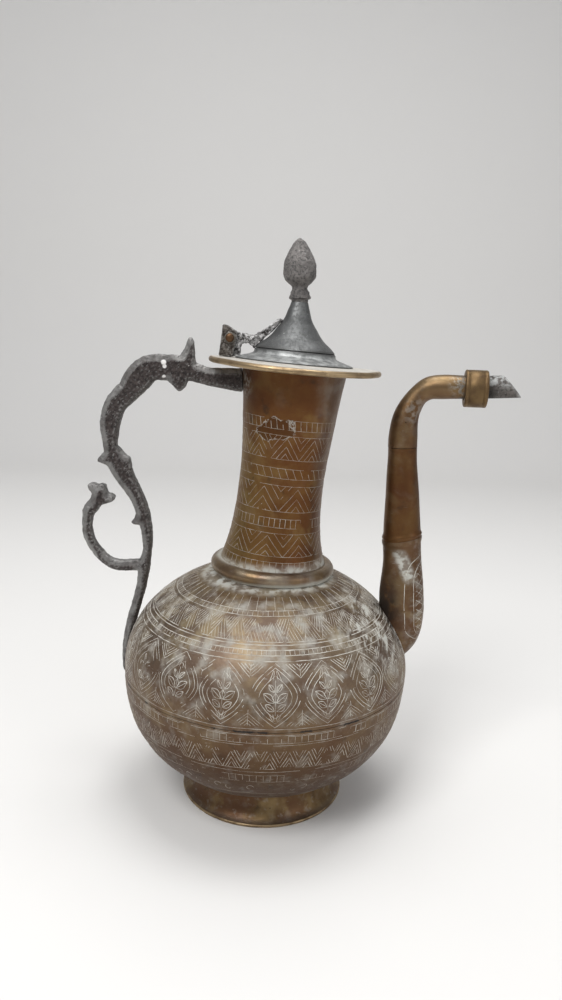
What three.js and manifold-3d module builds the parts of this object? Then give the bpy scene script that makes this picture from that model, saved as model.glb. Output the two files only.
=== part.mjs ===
// A sheet-copper ewer: a raised round belly on a flared foot, a leaning waisted neck with a wide rim
// plate, a tinned bell-shaped lid on a side hinge, a cast scroll handle and a swan-neck spout.
// Millimetres, +Z up. The spout points to +X and the handle to -X. Everything is drawn about the
// axis of the belly, and the finished ewer is then centred over the origin, on the table.

import * as THREE from "three";
import { mergeVertices } from "three/addons/utils/BufferGeometryUtils.js";
import Module from "manifold-3d";

const wasm = await Module();
wasm.setup();

// Sheet and fits
const sheet = 1.5; // copper of the belly, neck and foot
const fit = 0.3; // solder line between fixed pieces
const play = 0.35; // running clearance in the hinge

// Belly: a full lower half and an elliptical shoulder
const bellyRadius = 90;
const bellyEquator = 88; // height of the widest circle
const bellyDepth = 76.3; // from there down to the bottom of the bowl
const bellyRise = 65.5; // from there up to the crown of the shoulder
const bellyFullness = 2.35; // 2 is an ellipse, more is squarer
const seamHeight = 84; // where the two raised halves meet, under the medallions
const seamLap = 4; // the bowl's edge stands this far inside the shoulder half

// Foot
const footRadius = 52.6;
const footWaist = 44.4; // radius under the bowl
const footRimHeight = 2.2;
const footRimWidth = 3;

// Neck: a waisted tube on an axis that leans more towards the top
const neckShift = 2.2; // its foot stands off the belly's axis towards the spout
const neckLean = 2.5; // degrees, at the foot
const neckWaist = 26.2;
const neckWaistPlace = 0.49; // share of the neck's height
const neckFootFlare = 9.9; // added to the waist's radius at the foot
const neckMouthFlare = 6; // and at the mouth
const neckRingRadius = 38.9; // outside of the half-round moulding
const neckRingTube = 4.6;

// Head: the rim plate and all that stands on it share one lean
const mouthHeight = 278.1; // top of the plate, at its middle
const mouthShift = 12.15;
const headLean = 3.47; // degrees
const plateRadius = 52;
const plateEdge = 3.5; // diameter of the rolled edge
const plateSheet = 2;

// Lid
const lidShift = -0.8; // it sits a little towards the hinge
const lidRadius = 35.5;
const lidHeight = 35.6;
const lidTopRadius = 5;
const lidStep = 24.5; // radius of the upright step at the foot of the bell
const lidSheet = 1.3;
const sleeveRadius = 28;
const sleeveDepth = 5;

// Finial
const finialLean = -5.6; // degrees, bent back from the lid
const finialHeight = 36.2;
const finialBud = 9.6; // radius
const shankRadius = 2;
const roveRadius = 3.4;
const roveThickness = 1.2;

// Hinge
const pinOut = 39.9; // from the middle of the plate towards the handle
const pinUp = 11.25; // above the plate
const pinRadius = 1.8;
const pinHead = 2.6;
const washerRadius = 3.3;
const washerThickness = 0.9;
const knuckleRadius = 4.6;
const knuckleWidth = 7;
const earThickness = 2.6;
const earHeight = 19;
const strapFoot = 1; // its leg ends this far above the plate

// Spout
const spoutWall = 1.3;
const spoutStand = 85.4; // the foot of the shaft, from the belly's axis
const spoutHeight = 267.4; // middle of the outlet tube
const spoutReach = 147.4;
const outletTurn = 8; // degrees, the bend is soldered on turned this much to the front
const tipSlant = 41; // degrees from upright
const tipCut = 4.7; // middle of the slant, under the middle of the tube
const collarOuter = 11.1;
const collarLength = 13.4;
const collarBack = 26.6; // its middle, back from the reach
const collarDrop = 0.5; // its middle hangs this far under the tube's
const spoutHole = 8; // radius of the hole in the belly

// Handle
const armDrop = 10.9; // its arm meets the neck this far under the plate's top
const handleBevel = 2.2; // on the outer side of the bars
const tailHeight = 76.5;
const handleThickness = 8;

const radians = THREE.MathUtils.degToRad;
const flat = (x, z) => new THREE.Vector2(x, z);

// Closed bodies

function closedBody(source) {
  source.deleteAttribute("normal");
  source.deleteAttribute("uv");
  const geometry = mergeVertices(source, 1e-4);
  const place = geometry.getAttribute("position");
  const corner = [new THREE.Vector3(), new THREE.Vector3(), new THREE.Vector3()];
  const index = geometry.getIndex().array;
  const kept = [];
  let volume = 0;
  for (let i = 0; i < index.length; i += 3) {
    const face = [index[i], index[i + 1], index[i + 2]];
    if (new Set(face).size < 3) continue;
    face.forEach((vertex, k) => corner[k].fromBufferAttribute(place, vertex));
    volume += corner[0].dot(corner[1].cross(corner[2]));
    kept.push(...face);
  }
  if (volume < 0) kept.reverse();
  geometry.setIndex(kept);
  return geometry;
}

function toSolid(geometry) {
  const source = closedBody(geometry);
  return new wasm.Manifold(new wasm.Mesh({
    numProp: 3,
    vertProperties: Float32Array.from(source.getAttribute("position").array),
    triVerts: Uint32Array.from(source.getIndex().array),
  }));
}

function toGeometry(solid) {
  const mesh = solid.getMesh();
  const geometry = new THREE.BufferGeometry();
  geometry.setAttribute("position", new THREE.BufferAttribute(Float32Array.from(mesh.vertProperties), 3));
  geometry.setIndex(Array.from(mesh.triVerts));
  return geometry;
}

function cut(geometry, ...tools) {
  let solid = toSolid(geometry);
  for (const tool of tools) solid = solid.subtract(toSolid(tool));
  return toGeometry(solid);
}

function join(...pieces) {
  return toGeometry(pieces.map(toSolid).reduce((whole, piece) => whole.add(piece)));
}

// A profile of radius and height turned about the upright axis
function turned(profile, around) {
  const closes = profile[0].x > 0 ? [...profile, profile[0]] : profile;
  return closedBody(new THREE.LatheGeometry(closes, around).rotateX(Math.PI / 2));
}

// A flat outline in the X-Z plane, thickened to both sides of y = middle
function plate(shape, thickness, middle = 0) {
  const options = { depth: thickness, bevelEnabled: false, curveSegments: 6 };
  const geometry = new THREE.ExtrudeGeometry(shape, options);
  return closedBody(geometry.rotateX(Math.PI / 2).translate(0, middle + thickness / 2, 0));
}

// Rings of points skinned into one body: a looped one is a tube with a bore, else its ends are capped
function skinned(rings, looped) {
  const around = rings[0].length;
  const faces = [];
  for (let i = 0; i < (looped ? rings.length : rings.length - 1); i++) {
    const low = i * around;
    const high = ((i + 1) % rings.length) * around;
    for (let j = 0; j < around; j++) {
      const k = (j + 1) % around;
      faces.push(low + j, low + k, high + j, low + k, high + k, high + j);
    }
  }
  const last = (rings.length - 1) * around;
  for (let j = 1; !looped && j < around - 1; j++) faces.push(0, j + 1, j, last, last + j, last + j + 1);
  const geometry = new THREE.BufferGeometry().setFromPoints(rings.flat());
  geometry.setIndex(faces);
  return closedBody(geometry);
}

// An oval ring round a point of a curve that lies in the X-Z plane
function hoop(centre, tangent, radius, depth, around) {
  const across = new THREE.Vector2(tangent.z, -tangent.x).normalize();
  return Array.from({ length: around }, (_, j) => {
    const angle = (2 * Math.PI * j) / around;
    const reach = radius * Math.cos(angle);
    const side = radius * depth * Math.sin(angle);
    return new THREE.Vector3(centre.x + across.x * reach, side, centre.z + across.y * reach);
  });
}

function spaced(from, to, steps) {
  return Array.from({ length: steps + 1 }, (_, i) => from + ((to - from) * i) / steps);
}

// The belly's skin, moved outwards by grow, at an angle from -90 at the bottom to 90 at the crown
function bellyPoint(angle, grow) {
  const power = angle < 0 ? 2 / bellyFullness : 1;
  const height = angle < 0 ? -(bellyDepth + grow) : bellyRise + grow;
  const sine = Math.abs(Math.sin(radians(angle)));
  const cosine = Math.max(0, Math.cos(radians(angle)));
  const across = Math.abs(angle) === 90 ? 0 : (bellyRadius + grow) * cosine ** power;
  return flat(across, bellyEquator + height * sine ** power);
}

function bellyAngle(height, grow) {
  const rise = height - bellyEquator;
  const share = rise < 0 ? (-rise / (bellyDepth + grow)) ** (bellyFullness / 2) : rise / (bellyRise + grow);
  return THREE.MathUtils.radToDeg(Math.asin(share)) * Math.sign(rise);
}

function bellySkin(grow, fromAngle, toAngle, steps) {
  return spaced(fromAngle, toAngle, steps).map((angle) => bellyPoint(angle, grow));
}

const bellyAround = 40;
const bellyRadiusAt = (height) => bellyPoint(bellyAngle(height, 0), 0).x;
const bellyHeightAt = (radius) => bellyEquator + bellyRise * Math.sqrt(1 - (radius / bellyRadius) ** 2);
const bellyEnvelope = () => turned(bellySkin(fit, -90, 90, 24), bellyAround);

// The neck's axis runs from inside the shoulder to the middle of the plate's top
const shoulderHeight = bellyHeightAt(neckWaist + neckFootFlare);
const neckHeight = mouthHeight - shoulderHeight;
const neckThird = neckHeight / 3;
const neckAxis = new THREE.CubicBezierCurve3(
  new THREE.Vector3(neckShift, 0, shoulderHeight),
  new THREE.Vector3(neckShift + neckThird * Math.tan(radians(neckLean)), 0, shoulderHeight + neckThird),
  new THREE.Vector3(mouthShift - neckThird * Math.tan(radians(headLean)), 0, mouthHeight - neckThird),
  new THREE.Vector3(mouthShift, 0, mouthHeight),
);
const neckAround = 28;

function neckRadiusAt(share) {
  if (share > neckWaistPlace) {
    return neckWaist + neckMouthFlare * ((share - neckWaistPlace) / (1 - neckWaistPlace)) ** 1.5;
  }
  return neckWaist + neckFootFlare * ((neckWaistPlace - share) / neckWaistPlace) ** 2.9;
}

function neckHoop(share, grow) {
  const tangent = neckAxis.getTangent(Math.max(share, 0));
  return hoop(neckAxis.getPoint(share), tangent, neckRadiusAt(share) + grow, 1, neckAround);
}

const neckStops = [0, 0.07, 0.15, 0.26, 0.4, 0.6, 0.8, 1];
const neckEnvelope = () => skinned([-0.08, ...neckStops].map((share) => neckHoop(share, fit)), false);

// The handle side of the neck at a given height
function neckSideAt(height) {
  const share = (height - shoulderHeight) / neckHeight;
  return neckAxis.getPoint(share).x - neckRadiusAt(share);
}

// Foot

function footRing() {
  const bowlBottom = bellyEquator - bellyDepth;
  const top = flat(footWaist, 2 * bellyHeightLow(footWaist) - bowlBottom);
  const bottom = flat(footRadius - 0.4, footRimHeight + fit);
  const hollow = flat(footWaist + 0.6, footRimHeight + 4);
  const outer = new THREE.QuadraticBezierCurve(top, hollow, bottom).getPoints(4);
  const inner = outer.map((point) => flat(point.x - sheet, point.y)).reverse();
  return cut(turned([...outer, ...inner], bellyAround), bellyEnvelope());
}

// Height of the bowl's underside at a radius
function bellyHeightLow(radius) {
  return bellyEquator - bellyDepth * (1 - (radius / bellyRadius) ** bellyFullness) ** (1 / bellyFullness);
}

function footRim() {
  const inside = footRadius - footRimWidth;
  return turned([
    flat(inside, 0),
    flat(footRadius - 0.4, 0),
    flat(footRadius, 0.6),
    flat(footRadius, footRimHeight - 0.6),
    flat(footRadius - 0.4, footRimHeight),
    flat(inside, footRimHeight),
  ], bellyAround);
}

// Belly, in two halves that lap at the seam

function bodyLower() {
  const inside = -sheet - fit; // the lap fits in the shoulder half
  const lapTop = seamHeight + seamLap;
  const lapFoot = seamHeight - seamLap;
  const skinAt = (height, grow) => bellyPoint(bellyAngle(height, grow), grow);
  const outer = bellySkin(0, -90, bellyAngle(seamHeight, 0), 9);
  const lapOuter = [seamHeight, lapTop].map((height) => skinAt(height, inside));
  const lapInner = [lapTop, lapFoot].map((height) => skinAt(height, inside - sheet));
  const inner = bellySkin(-sheet, bellyAngle(lapFoot - sheet, -sheet), -90, 7);
  return turned([...outer, ...lapOuter, ...lapInner, ...inner], bellyAround);
}

function bodyUpper() {
  const mouth = neckWaist + neckFootFlare - 2.5 * sheet;
  const mouthAngle = (grow) => THREE.MathUtils.radToDeg(Math.acos(mouth / (bellyRadius + grow)));
  const outer = bellySkin(0, bellyAngle(seamHeight + fit, 0), mouthAngle(0), 9);
  const lapTop = bellyAngle(seamHeight + seamLap, -sheet);
  const inner = bellySkin(-sheet, mouthAngle(-sheet), lapTop, 6);
  const edge = bellyPoint(bellyAngle(seamHeight + fit, -sheet), -sheet);
  return cut(turned([...outer, ...inner, edge], bellyAround), spoutPassage());
}

// Neck

function neckRing() {
  const centre = neckRingRadius - neckRingTube;
  const round = spaced(0, 320, 8).map((angle) => flat(
    centre + neckRingTube * Math.cos(radians(angle)),
    neckRingTube * Math.sin(radians(angle)),
  ));
  const height = bellyHeightAt(neckRingRadius - neckRingTube) + neckRingTube * 0.75;
  const ring = turned(round, neckAround).rotateY(radians(neckLean)).translate(neckShift + 0.15, 0, height);
  return cut(ring, neckEnvelope(), bellyEnvelope());
}

function neckTube() {
  const outer = neckStops.map((share) => neckHoop(share, 0));
  const inner = neckStops.map((share) => neckHoop(share, -sheet)).reverse();
  return cut(skinned([...outer, ...inner], true), bellyEnvelope());
}

// Head, drawn about the middle of the plate's top

function rimPlate() {
  const edge = plateEdge / 2;
  const bore = neckWaist + neckMouthFlare + fit;
  const roll = spaced(90, -126, 6).map((angle) => flat(
    plateRadius - edge + edge * Math.cos(radians(angle)),
    -edge + edge * Math.sin(radians(angle)),
  ));
  const under = [flat(plateRadius - plateEdge, -plateSheet), flat(bore, -plateSheet)];
  return turned([flat(bore, 0), ...roll, ...under], bellyAround);
}

function hole(radius) {
  return new THREE.Path().absarc(-pinOut, pinUp, radius, 0, 2 * Math.PI);
}

function hingeEar(side) {
  const shape = new THREE.Shape();
  shape.moveTo(-pinOut - 6, fit);
  shape.lineTo(-pinOut - 4.9, earHeight - 1);
  shape.quadraticCurveTo(-pinOut - 4.6, earHeight, -pinOut - 2.6, earHeight - 0.4);
  shape.lineTo(-pinOut + 3.4, earHeight - 3.6);
  shape.quadraticCurveTo(-pinOut + 4.6, earHeight - 4.6, -pinOut + 4.2, pinUp);
  shape.lineTo(-pinOut + 2.2, fit);
  shape.holes.push(hole(pinRadius + fit));
  return plate(shape, earThickness, side * (knuckleWidth / 2 + play + earThickness / 2));
}

function washer(side) {
  const shape = new THREE.Shape().absarc(-pinOut, pinUp, washerRadius, 0, 2 * Math.PI);
  shape.holes.push(hole(pinRadius + fit));
  const middle = knuckleWidth / 2 + play + earThickness + fit + washerThickness / 2;
  return plate(shape, washerThickness, side * middle);
}

function hingePin() {
  const shoulder = knuckleWidth / 2 + play + earThickness + washerThickness + 2 * fit;
  const headHeight = 1.3;
  const half = [
    flat(pinRadius, 0),
    flat(pinRadius, shoulder),
    flat(pinHead, shoulder),
    flat(pinHead * 0.9, shoulder + headHeight * 0.6),
    flat(0, shoulder + headHeight),
  ];
  const lower = half.slice(1).reverse().map((point) => flat(point.x, -point.y));
  return turned([...lower, ...half], 20).rotateX(Math.PI / 2).translate(-pinOut, 0, pinUp);
}

// Lid, drawn about its own axis with the plate's top at height 0

function lidSkin() {
  const bell = new THREE.SplineCurve([
    flat(lidStep - 0.6, lidHeight * 0.213), flat(lidStep * 0.87, lidHeight * 0.287),
    flat(lidStep * 0.653, lidHeight * 0.413), flat(lidStep * 0.494, lidHeight * 0.562),
    flat(lidStep * 0.347, lidHeight * 0.711), flat(lidTopRadius * 1.28, lidHeight * 0.871),
    flat(lidTopRadius, lidHeight),
  ]);
  return [
    flat(lidRadius, fit), flat(lidRadius + 0.1, 1), flat(lidRadius * 0.85, 2.6), flat(lidStep + 1, 4.2),
    flat(lidStep, 5.5), flat(lidStep, 7), ...bell.getPoints(9),
  ];
}

// The same skin moved square to itself, inwards where the distance is positive
function offsetSkin(points, distance) {
  return points.map((point, i) => {
    const before = points[Math.max(0, i - 1)];
    const after = points[Math.min(points.length - 1, i + 1)];
    const run = after.clone().sub(before).normalize();
    return flat(Math.max(0, point.x - run.y * distance), point.y + run.x * distance);
  });
}

const lidAround = 28;

function lidCover() {
  const outer = lidSkin();
  const bore = shankRadius + 2 * fit;
  const top = flat(bore, lidHeight);
  const ceiling = flat(bore, lidHeight - lidSheet);
  const inner = offsetSkin(outer, lidSheet)
    .map((point) => flat(point.x, Math.max(fit, point.y)))
    .filter((point) => point.y < ceiling.y - 0.5 && point.x < lidRadius - 4)
    .reverse();
  const corner = flat(lidTopRadius - lidSheet, ceiling.y);
  return turned([...outer, top, ceiling, corner, ...inner], lidAround);
}

function lidEnvelope() {
  const outer = offsetSkin(lidSkin(), -fit);
  const below = [flat(0, -plateEdge), flat(lidRadius + fit, -plateEdge)];
  return turned([...below, ...outer, flat(0, lidHeight + fit)], lidAround);
}

function lidSleeve() {
  const top = 1.6;
  const inside = sleeveRadius - lidSheet;
  const outer = [flat(sleeveRadius, -sleeveDepth), flat(sleeveRadius, top)];
  return turned([flat(inside, -sleeveDepth), ...outer, flat(inside, top)], lidAround);
}

// Strap from the knuckle over a leg to a leaf that stands a little off the bell up to its tip.
// The leaf is drawn about the pin.
function lidStrap() {
  const shape = new THREE.Shape();
  const line = (across, up) => shape.lineTo(-pinOut + across, pinUp + up);
  const bow = (controlAcross, controlUp, across, up) => {
    shape.quadraticCurveTo(-pinOut + controlAcross, pinUp + controlUp, -pinOut + across, pinUp + up);
  };
  shape.absarc(-pinOut, pinUp, knuckleRadius, radians(60), radians(270), false);
  line(0.4, strapFoot - pinUp);
  line(6.6, strapFoot - pinUp);
  line(6.5, -2.6);
  bow(9, -1.6, 11.1, -2.1);
  line(15.6, -5.2);
  line(18.2, -0.2);
  line(25.6, 8);
  line(30.1, 12.8);
  line(28.8, 13.7);
  bow(26.4, 13.2, 23, 9.7);
  bow(16.5, 3.4, 13.2, 2.7);
  bow(8.5, 2.9, knuckleRadius * Math.cos(radians(60)), knuckleRadius * Math.sin(radians(60)));
  shape.holes.push(hole(pinRadius + play));
  return cut(plate(shape, knuckleWidth), lidEnvelope().translate(lidShift, 0, 0));
}

// Finial, drawn up from the top of the lid and cut square to the lid where it seats

function finial() {
  const under = -lidSheet - roveThickness - 2.5 * fit;
  const head = under - 1;
  const seat = shankRadius + fit;
  const waste = [flat(seat, -lidSheet), flat(finialBud, -lidSheet), flat(finialBud, fit), flat(seat, fit)];
  const seatCut = turned(waste, 16).rotateY(-radians(finialLean));
  const bud = new THREE.SplineCurve([
    flat(finialBud * 0.49, finialHeight * 0.28), flat(finialBud * 0.9, finialHeight * 0.41),
    flat(finialBud, finialHeight * 0.55), flat(finialBud * 0.9, finialHeight * 0.7),
    flat(finialBud * 0.5, finialHeight * 0.91), flat(0.6, finialHeight),
  ]);
  const blank = turned([
    flat(0, head), flat(shankRadius + 0.8, head), flat(shankRadius + 0.8, under), flat(shankRadius, under),
    flat(shankRadius, -0.8), flat(5, -0.8), flat(5, 1.6), flat(6.2, 2.1), flat(6.2, 3.3), flat(5.3, 5.8),
    flat(4.4, 8), ...bud.getPoints(7), flat(0, finialHeight),
  ], 16);
  return cut(blank, seatCut);
}

function finialRove() {
  const top = -lidSheet - fit;
  const low = top - roveThickness;
  const bore = shankRadius + 2 * fit;
  return turned([flat(bore, low), flat(roveRadius, low), flat(roveRadius, top), flat(bore, top)], 16);
}

// Spout: stations from inside the belly to past the outlet, as distance out, height and radius.
// The middle coordinate of this curve carries the radius, because the spout's axis lies in a plane.

const shaftLean = 5.5; // the shaft leans back towards the neck by this much at its top
const rootHeight = bellyEquator + 13;
const bendHeight = spoutHeight - 31.4;
const rootOut = bellyRadiusAt(rootHeight);
const spoutLift = (share) => rootHeight + (bendHeight - rootHeight) * share;
const spoutCurve = new THREE.CatmullRomCurve3([
  new THREE.Vector3(rootOut - 16, 14.5, rootHeight - 2.4),
  new THREE.Vector3(spoutStand - 2.3, 15.2, spoutLift(0.07)),
  new THREE.Vector3(spoutStand + 0.6, 14.4, spoutLift(0.155)),
  new THREE.Vector3(spoutStand, 14, spoutLift(0.275)),
  new THREE.Vector3(spoutStand - 0.8, 12, spoutLift(0.42)),
  new THREE.Vector3(spoutStand - 1.9, 11.8, spoutLift(0.525)),
  new THREE.Vector3(spoutStand - 3.4, 10.6, spoutLift(0.71)),
  new THREE.Vector3(spoutStand - 5, 9, spoutLift(0.9)),
  new THREE.Vector3(spoutStand - shaftLean, 8.8, bendHeight),
  new THREE.Vector3(spoutStand - 4.8, 7.9, spoutHeight - 20.4),
  new THREE.Vector3(spoutStand - 2.4, 7, spoutHeight - 13),
  new THREE.Vector3(spoutStand + 2.2, 6.2, spoutHeight - 5.7),
  new THREE.Vector3(spoutStand + 8.3, 6.9, spoutHeight - 1.3),
  new THREE.Vector3(spoutStand + 16.3, 7.3, spoutHeight - 0.2),
  new THREE.Vector3(spoutReach - 35.4, 7, spoutHeight + 0.1),
  new THREE.Vector3(spoutReach - 28.4, 7, spoutHeight + 0.2),
  new THREE.Vector3(spoutReach + 2, 6.9, spoutHeight + 2.2),
]);
const spoutLast = spoutCurve.points.length - 1;
const spoutAround = 16;

// One hoop of the spout at a station, which may be a fraction
function spoutHoop(station, grow) {
  const at = spoutCurve.getPoint(station / spoutLast);
  const tangent = spoutCurve.getTangent(station / spoutLast);
  const depth = THREE.MathUtils.lerp(0.86, 1, THREE.MathUtils.smoothstep(station, 4, 9));
  return hoop(at, tangent, at.y + grow, depth, spoutAround);
}

// A station moved along the spout by a distance
function moved(station, distance) {
  const near = spoutCurve.getPoint(station / spoutLast);
  const far = spoutCurve.getPoint((station + 0.02) / spoutLast);
  return station + (0.02 * distance) / Math.hypot(far.x - near.x, far.z - near.z);
}

const baseEnd = 5;
const shaftEnd = 7.5;
const bendEnd = 15;
const lap = 4; // each upper tube stands this far inside the one below

function spoutTube(loop) {
  return skinned(loop.map(([station, grow]) => spoutHoop(station, grow)), true);
}

// What stands on the shaft's upper end is turned about the upright through it
function turnedOutlet(geometry) {
  const out = spoutCurve.getPoint(shaftEnd / spoutLast).x;
  return geometry.translate(-out, 0, 0).rotateZ(-radians(outletTurn)).translate(out, 0, 0);
}

function spoutRun(from, to, steps, grow) {
  return spaced(from, to, steps).map((station) => [station, grow]);
}

// The rings of a tube that enters the one below it
function tongue(start) {
  const outside = -spoutWall - fit;
  return [
    [start, outside - spoutWall],
    [moved(start, -lap), outside - spoutWall],
    [moved(start, -lap), outside],
    [start, outside],
  ];
}

function spoutBase() {
  const lip = moved(baseEnd, -3.2);
  return cut(spoutTube([
    ...spoutRun(0, moved(lip, -0.8), 9, 0),
    [lip, 0.8],
    [baseEnd, 0.6],
    ...spoutRun(baseEnd, 0, 8, -spoutWall),
  ]), bellyEnvelope());
}

function spoutShaft() {
  const start = moved(baseEnd, fit);
  return spoutTube([
    ...tongue(start),
    [start, 0.1], [moved(start, 1), -0.3], [moved(start, 2.2), 0.7], [moved(start, 3.4), 0.1],
    ...spoutRun(moved(start, 4.4), shaftEnd, 4, 0),
    ...spoutRun(shaftEnd, moved(start, 2), 4, -spoutWall),
  ]);
}

function spoutBend() {
  const start = moved(shaftEnd, fit);
  return turnedOutlet(spoutTube([
    ...tongue(start),
    ...spoutRun(start, bendEnd, 13, 0),
    ...spoutRun(bendEnd, moved(start, 2), 11, -spoutWall),
  ]));
}

function spoutCollar() {
  const half = collarLength / 2;
  const chamfer = 0.8;
  const blank = turned([
    flat(0, -half), flat(collarOuter - chamfer, -half), flat(collarOuter, chamfer - half),
    flat(collarOuter, half - chamfer), flat(collarOuter - chamfer, half), flat(0, half),
  ], 28).rotateY(Math.PI / 2).translate(spoutReach - collarBack, 0, spoutHeight - collarDrop);
  const run = spaced(bendEnd - 2, bendEnd + 0.7, 12).map((station) => spoutHoop(station, fit));
  const tube = skinned(run, false);
  return turnedOutlet(cut(blank, tube));
}

function spoutTip() {
  const start = moved(bendEnd, fit);
  const slack = -0.2; // it is a little thinner than the bend's end
  const outer = spoutRun(start, spoutLast, 4, slack);
  const inner = spoutRun(spoutLast, start, 4, slack - spoutWall);
  const wide = 4 * collarOuter;
  const waste = new THREE.BoxGeometry(wide, wide, wide).translate(wide / 2, 0, 0);
  waste.rotateY(-radians(tipSlant)).translate(spoutReach, 0, spoutHeight - tipCut);
  return turnedOutlet(cut(spoutTube([...outer, ...inner]), waste));
}

function spoutPassage() {
  const at = spoutCurve.getPoint(0.5 / spoutLast);
  const tangent = spoutCurve.getTangent(0.5 / spoutLast);
  const rod = new THREE.CylinderGeometry(spoutHole, spoutHole, 4 * spoutWall * spoutHole, 20);
  rod.rotateX(Math.PI / 2);
  return rod.rotateY(Math.atan2(tangent.x, tangent.z)).translate(at.x, 0, at.z);
}

// Handle: bars along curves, whose middle coordinate carries the half width, and small ornaments

const armHeight = mouthHeight - armDrop;
const stemX = (out) => -bellyRadius - out;
const stemZ = (share) => tailHeight + (armHeight - tailHeight) * share;
const armStart = neckSideAt(armHeight);

function bar(stations, steps, thickness) {
  const curve = new THREE.CatmullRomCurve3(stations.map(([x, z, half]) => new THREE.Vector3(x, half, z)));
  const rings = spaced(0, 1, steps).map((share) => {
    const at = curve.getPoint(share);
    const tangent = curve.getTangent(share);
    const across = new THREE.Vector2(tangent.z, -tangent.x).normalize();
    const half = thickness(share) / 2;
    const bevel = Math.min(handleBevel, at.y * 0.7);
    // Square on the inner side, bevelled on the outer one
    const section = [
      [at.y, -0.8 * half], [at.y, 0.8 * half], [at.y - 0.8, half], [bevel - at.y, half],
      [-at.y, 0.4 * half], [-at.y, -0.4 * half], [bevel - at.y, -half], [at.y - 0.8, -half],
    ];
    return section.map(([reach, side]) => {
      return new THREE.Vector3(at.x + across.x * reach, side, at.z + across.y * reach);
    });
  });
  return skinned(rings, false);
}

// A small outline on the handle, with its edges bevelled, placed by a corner of its own
function ornament(x, z, points, thickness) {
  const bevel = 1;
  const shape = new THREE.Shape(points.map(([across, up]) => flat(x + across, z + up)));
  const inset = bevel * 0.6;
  const geometry = new THREE.ExtrudeGeometry(shape, {
    depth: thickness - 2 * bevel,
    bevelThickness: bevel,
    bevelSize: inset,
    bevelOffset: -inset,
    bevelSegments: 1,
  });
  return closedBody(geometry.rotateX(Math.PI / 2).translate(0, thickness / 2 - bevel, 0));
}

function handle() {
  const arm = [
    [4, -0.2, 7], [-2, -0.2, 7], [-7.6, 0.2, 6.6], [-14.8, 0.7, 5.9], [-22.2, 1.5, 5.3], [-31.5, 4.2, 6],
    [-37.9, 5.6, 7.6], [-45.2, 5.7, 7.8], [-52.4, 5.8, 7.7],
  ].map(([out, up, half]) => [armStart + out, armHeight + up, half]);
  const stem = [
    [-12.7, 1.021, 8.2], [-7.4, 0.992, 8.4], [-1.7, 0.955, 7.2], [6.7, 0.906, 6.6], [9.8, 0.845, 6.1],
    [9.9, 0.806, 5.1], [9.7, 0.772, 4.4], [6, 0.732, 6.8], [0.1, 0.669, 5.6], [-6.3, 0.613, 4.5],
    [-10.3, 0.557, 4.2], [-12.7, 0.494, 3.5], [-13.1, 0.46, 3.1], [-12.8, 0.426, 2.8], [-11.1, 0.385, 3.7],
    [-9.7, 0.322, 3.2], [-6.6, 0.255, 3], [-3, 0.188, 3.1], [-1, 0.147, 2.8], [0.8, 0.104, 2.2],
    [1.8, 0.062, 1.7], [2.2, 0.027, 1.2], [2, 0, 0.8],
  ].map(([out, share, half]) => [stemX(out), stemZ(share), half]);
  const rootX = stemX(-10.6);
  const rootZ = stemZ(0.378);
  const scroll = [
    [0, 0, 4], [-8.3, -0.3, 3.7], [-14.7, -0.7, 3.6], [-21, 0.8, 3.4], [-27.1, 5.3, 3.1], [-31.8, 10.9, 3],
    [-34.8, 17.4, 3.1], [-35.8, 23.9, 3.1], [-35.4, 29.7, 3.3], [-34.4, 34.2, 4], [-31.6, 37.8, 4.2],
    [-29.9, 41.6, 3.3],
  ].map(([across, up, half]) => [rootX + across, rootZ + up, half]);
  const slimmed = (share) => handleThickness * (share < 0.75 ? 1 : 1 - 2 * (share - 0.75));
  const spike = [
    [1.5, -4], [0, 0], [-1.9, 5.9], [-2.6, 15.3], [-3.6, 17.8], [-5.4, 18.2], [-6.4, 16.3], [-8, 11.6],
    [-10.8, 7], [-14, 3], [-14, -4],
  ];
  const drop = [
    [-1, 3], [0, -1.8], [3, -4.1], [5, -6.4], [6.8, -7.9], [8.6, -6.9], [10.8, -4.4], [12, -1.4], [13, 3],
  ];
  const knob = [[3, 0.5], [-1.7, -0.4], [-3.2, -2], [-5.3, -4.4], [-5.8, -6.4], [-3.2, -7.4], [2, -9.4]];
  const bump = [[4, 2], [6.9, 1.4], [9.5, -1.2], [12.9, -2.4], [14.5, -3.9], [15.1, -10.2], [6, -8]];
  const thorn = [[3.5, 7], [0.7, 5.1], [0, 2.9], [-2.3, -0.1], [-0.6, -1], [4, -1.2]];
  const head = [
    [-3.1, 4.3], [-2.1, 7.4], [-4.1, 9.9], [-4.7, 12.7], [-2.9, 14.2], [-0.8, 14.3], [1.5, 13.1], [4, 14],
    [6.5, 13.3], [6.8, 9.8], [7.9, 7.8], [10.4, 7.6], [12.1, 5.6], [11.1, 3.1], [7.5, 1.6], [3.8, 0.5],
    [2.5, -1.3], [-2, -2],
  ];
  const whole = join(
    bar([...arm, ...stem], 60, slimmed),
    bar(scroll, 20, () => handleThickness * 0.85),
    ornament(armStart - 27, armHeight + 6, spike, handleThickness),
    ornament(armStart - 45.2, armHeight - 0.5, drop, handleThickness),
    ornament(stemX(12), stemZ(0.757), knob, handleThickness),
    ornament(stemX(12), stemZ(0.757), bump, handleThickness),
    ornament(stemX(-5), stemZ(0.524), thorn, handleThickness),
    ornament(rootX - 30, rootZ + 38, head, handleThickness),
  );
  return cut(whole, neckEnvelope(), bellyEnvelope());
}

// Finishes

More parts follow.
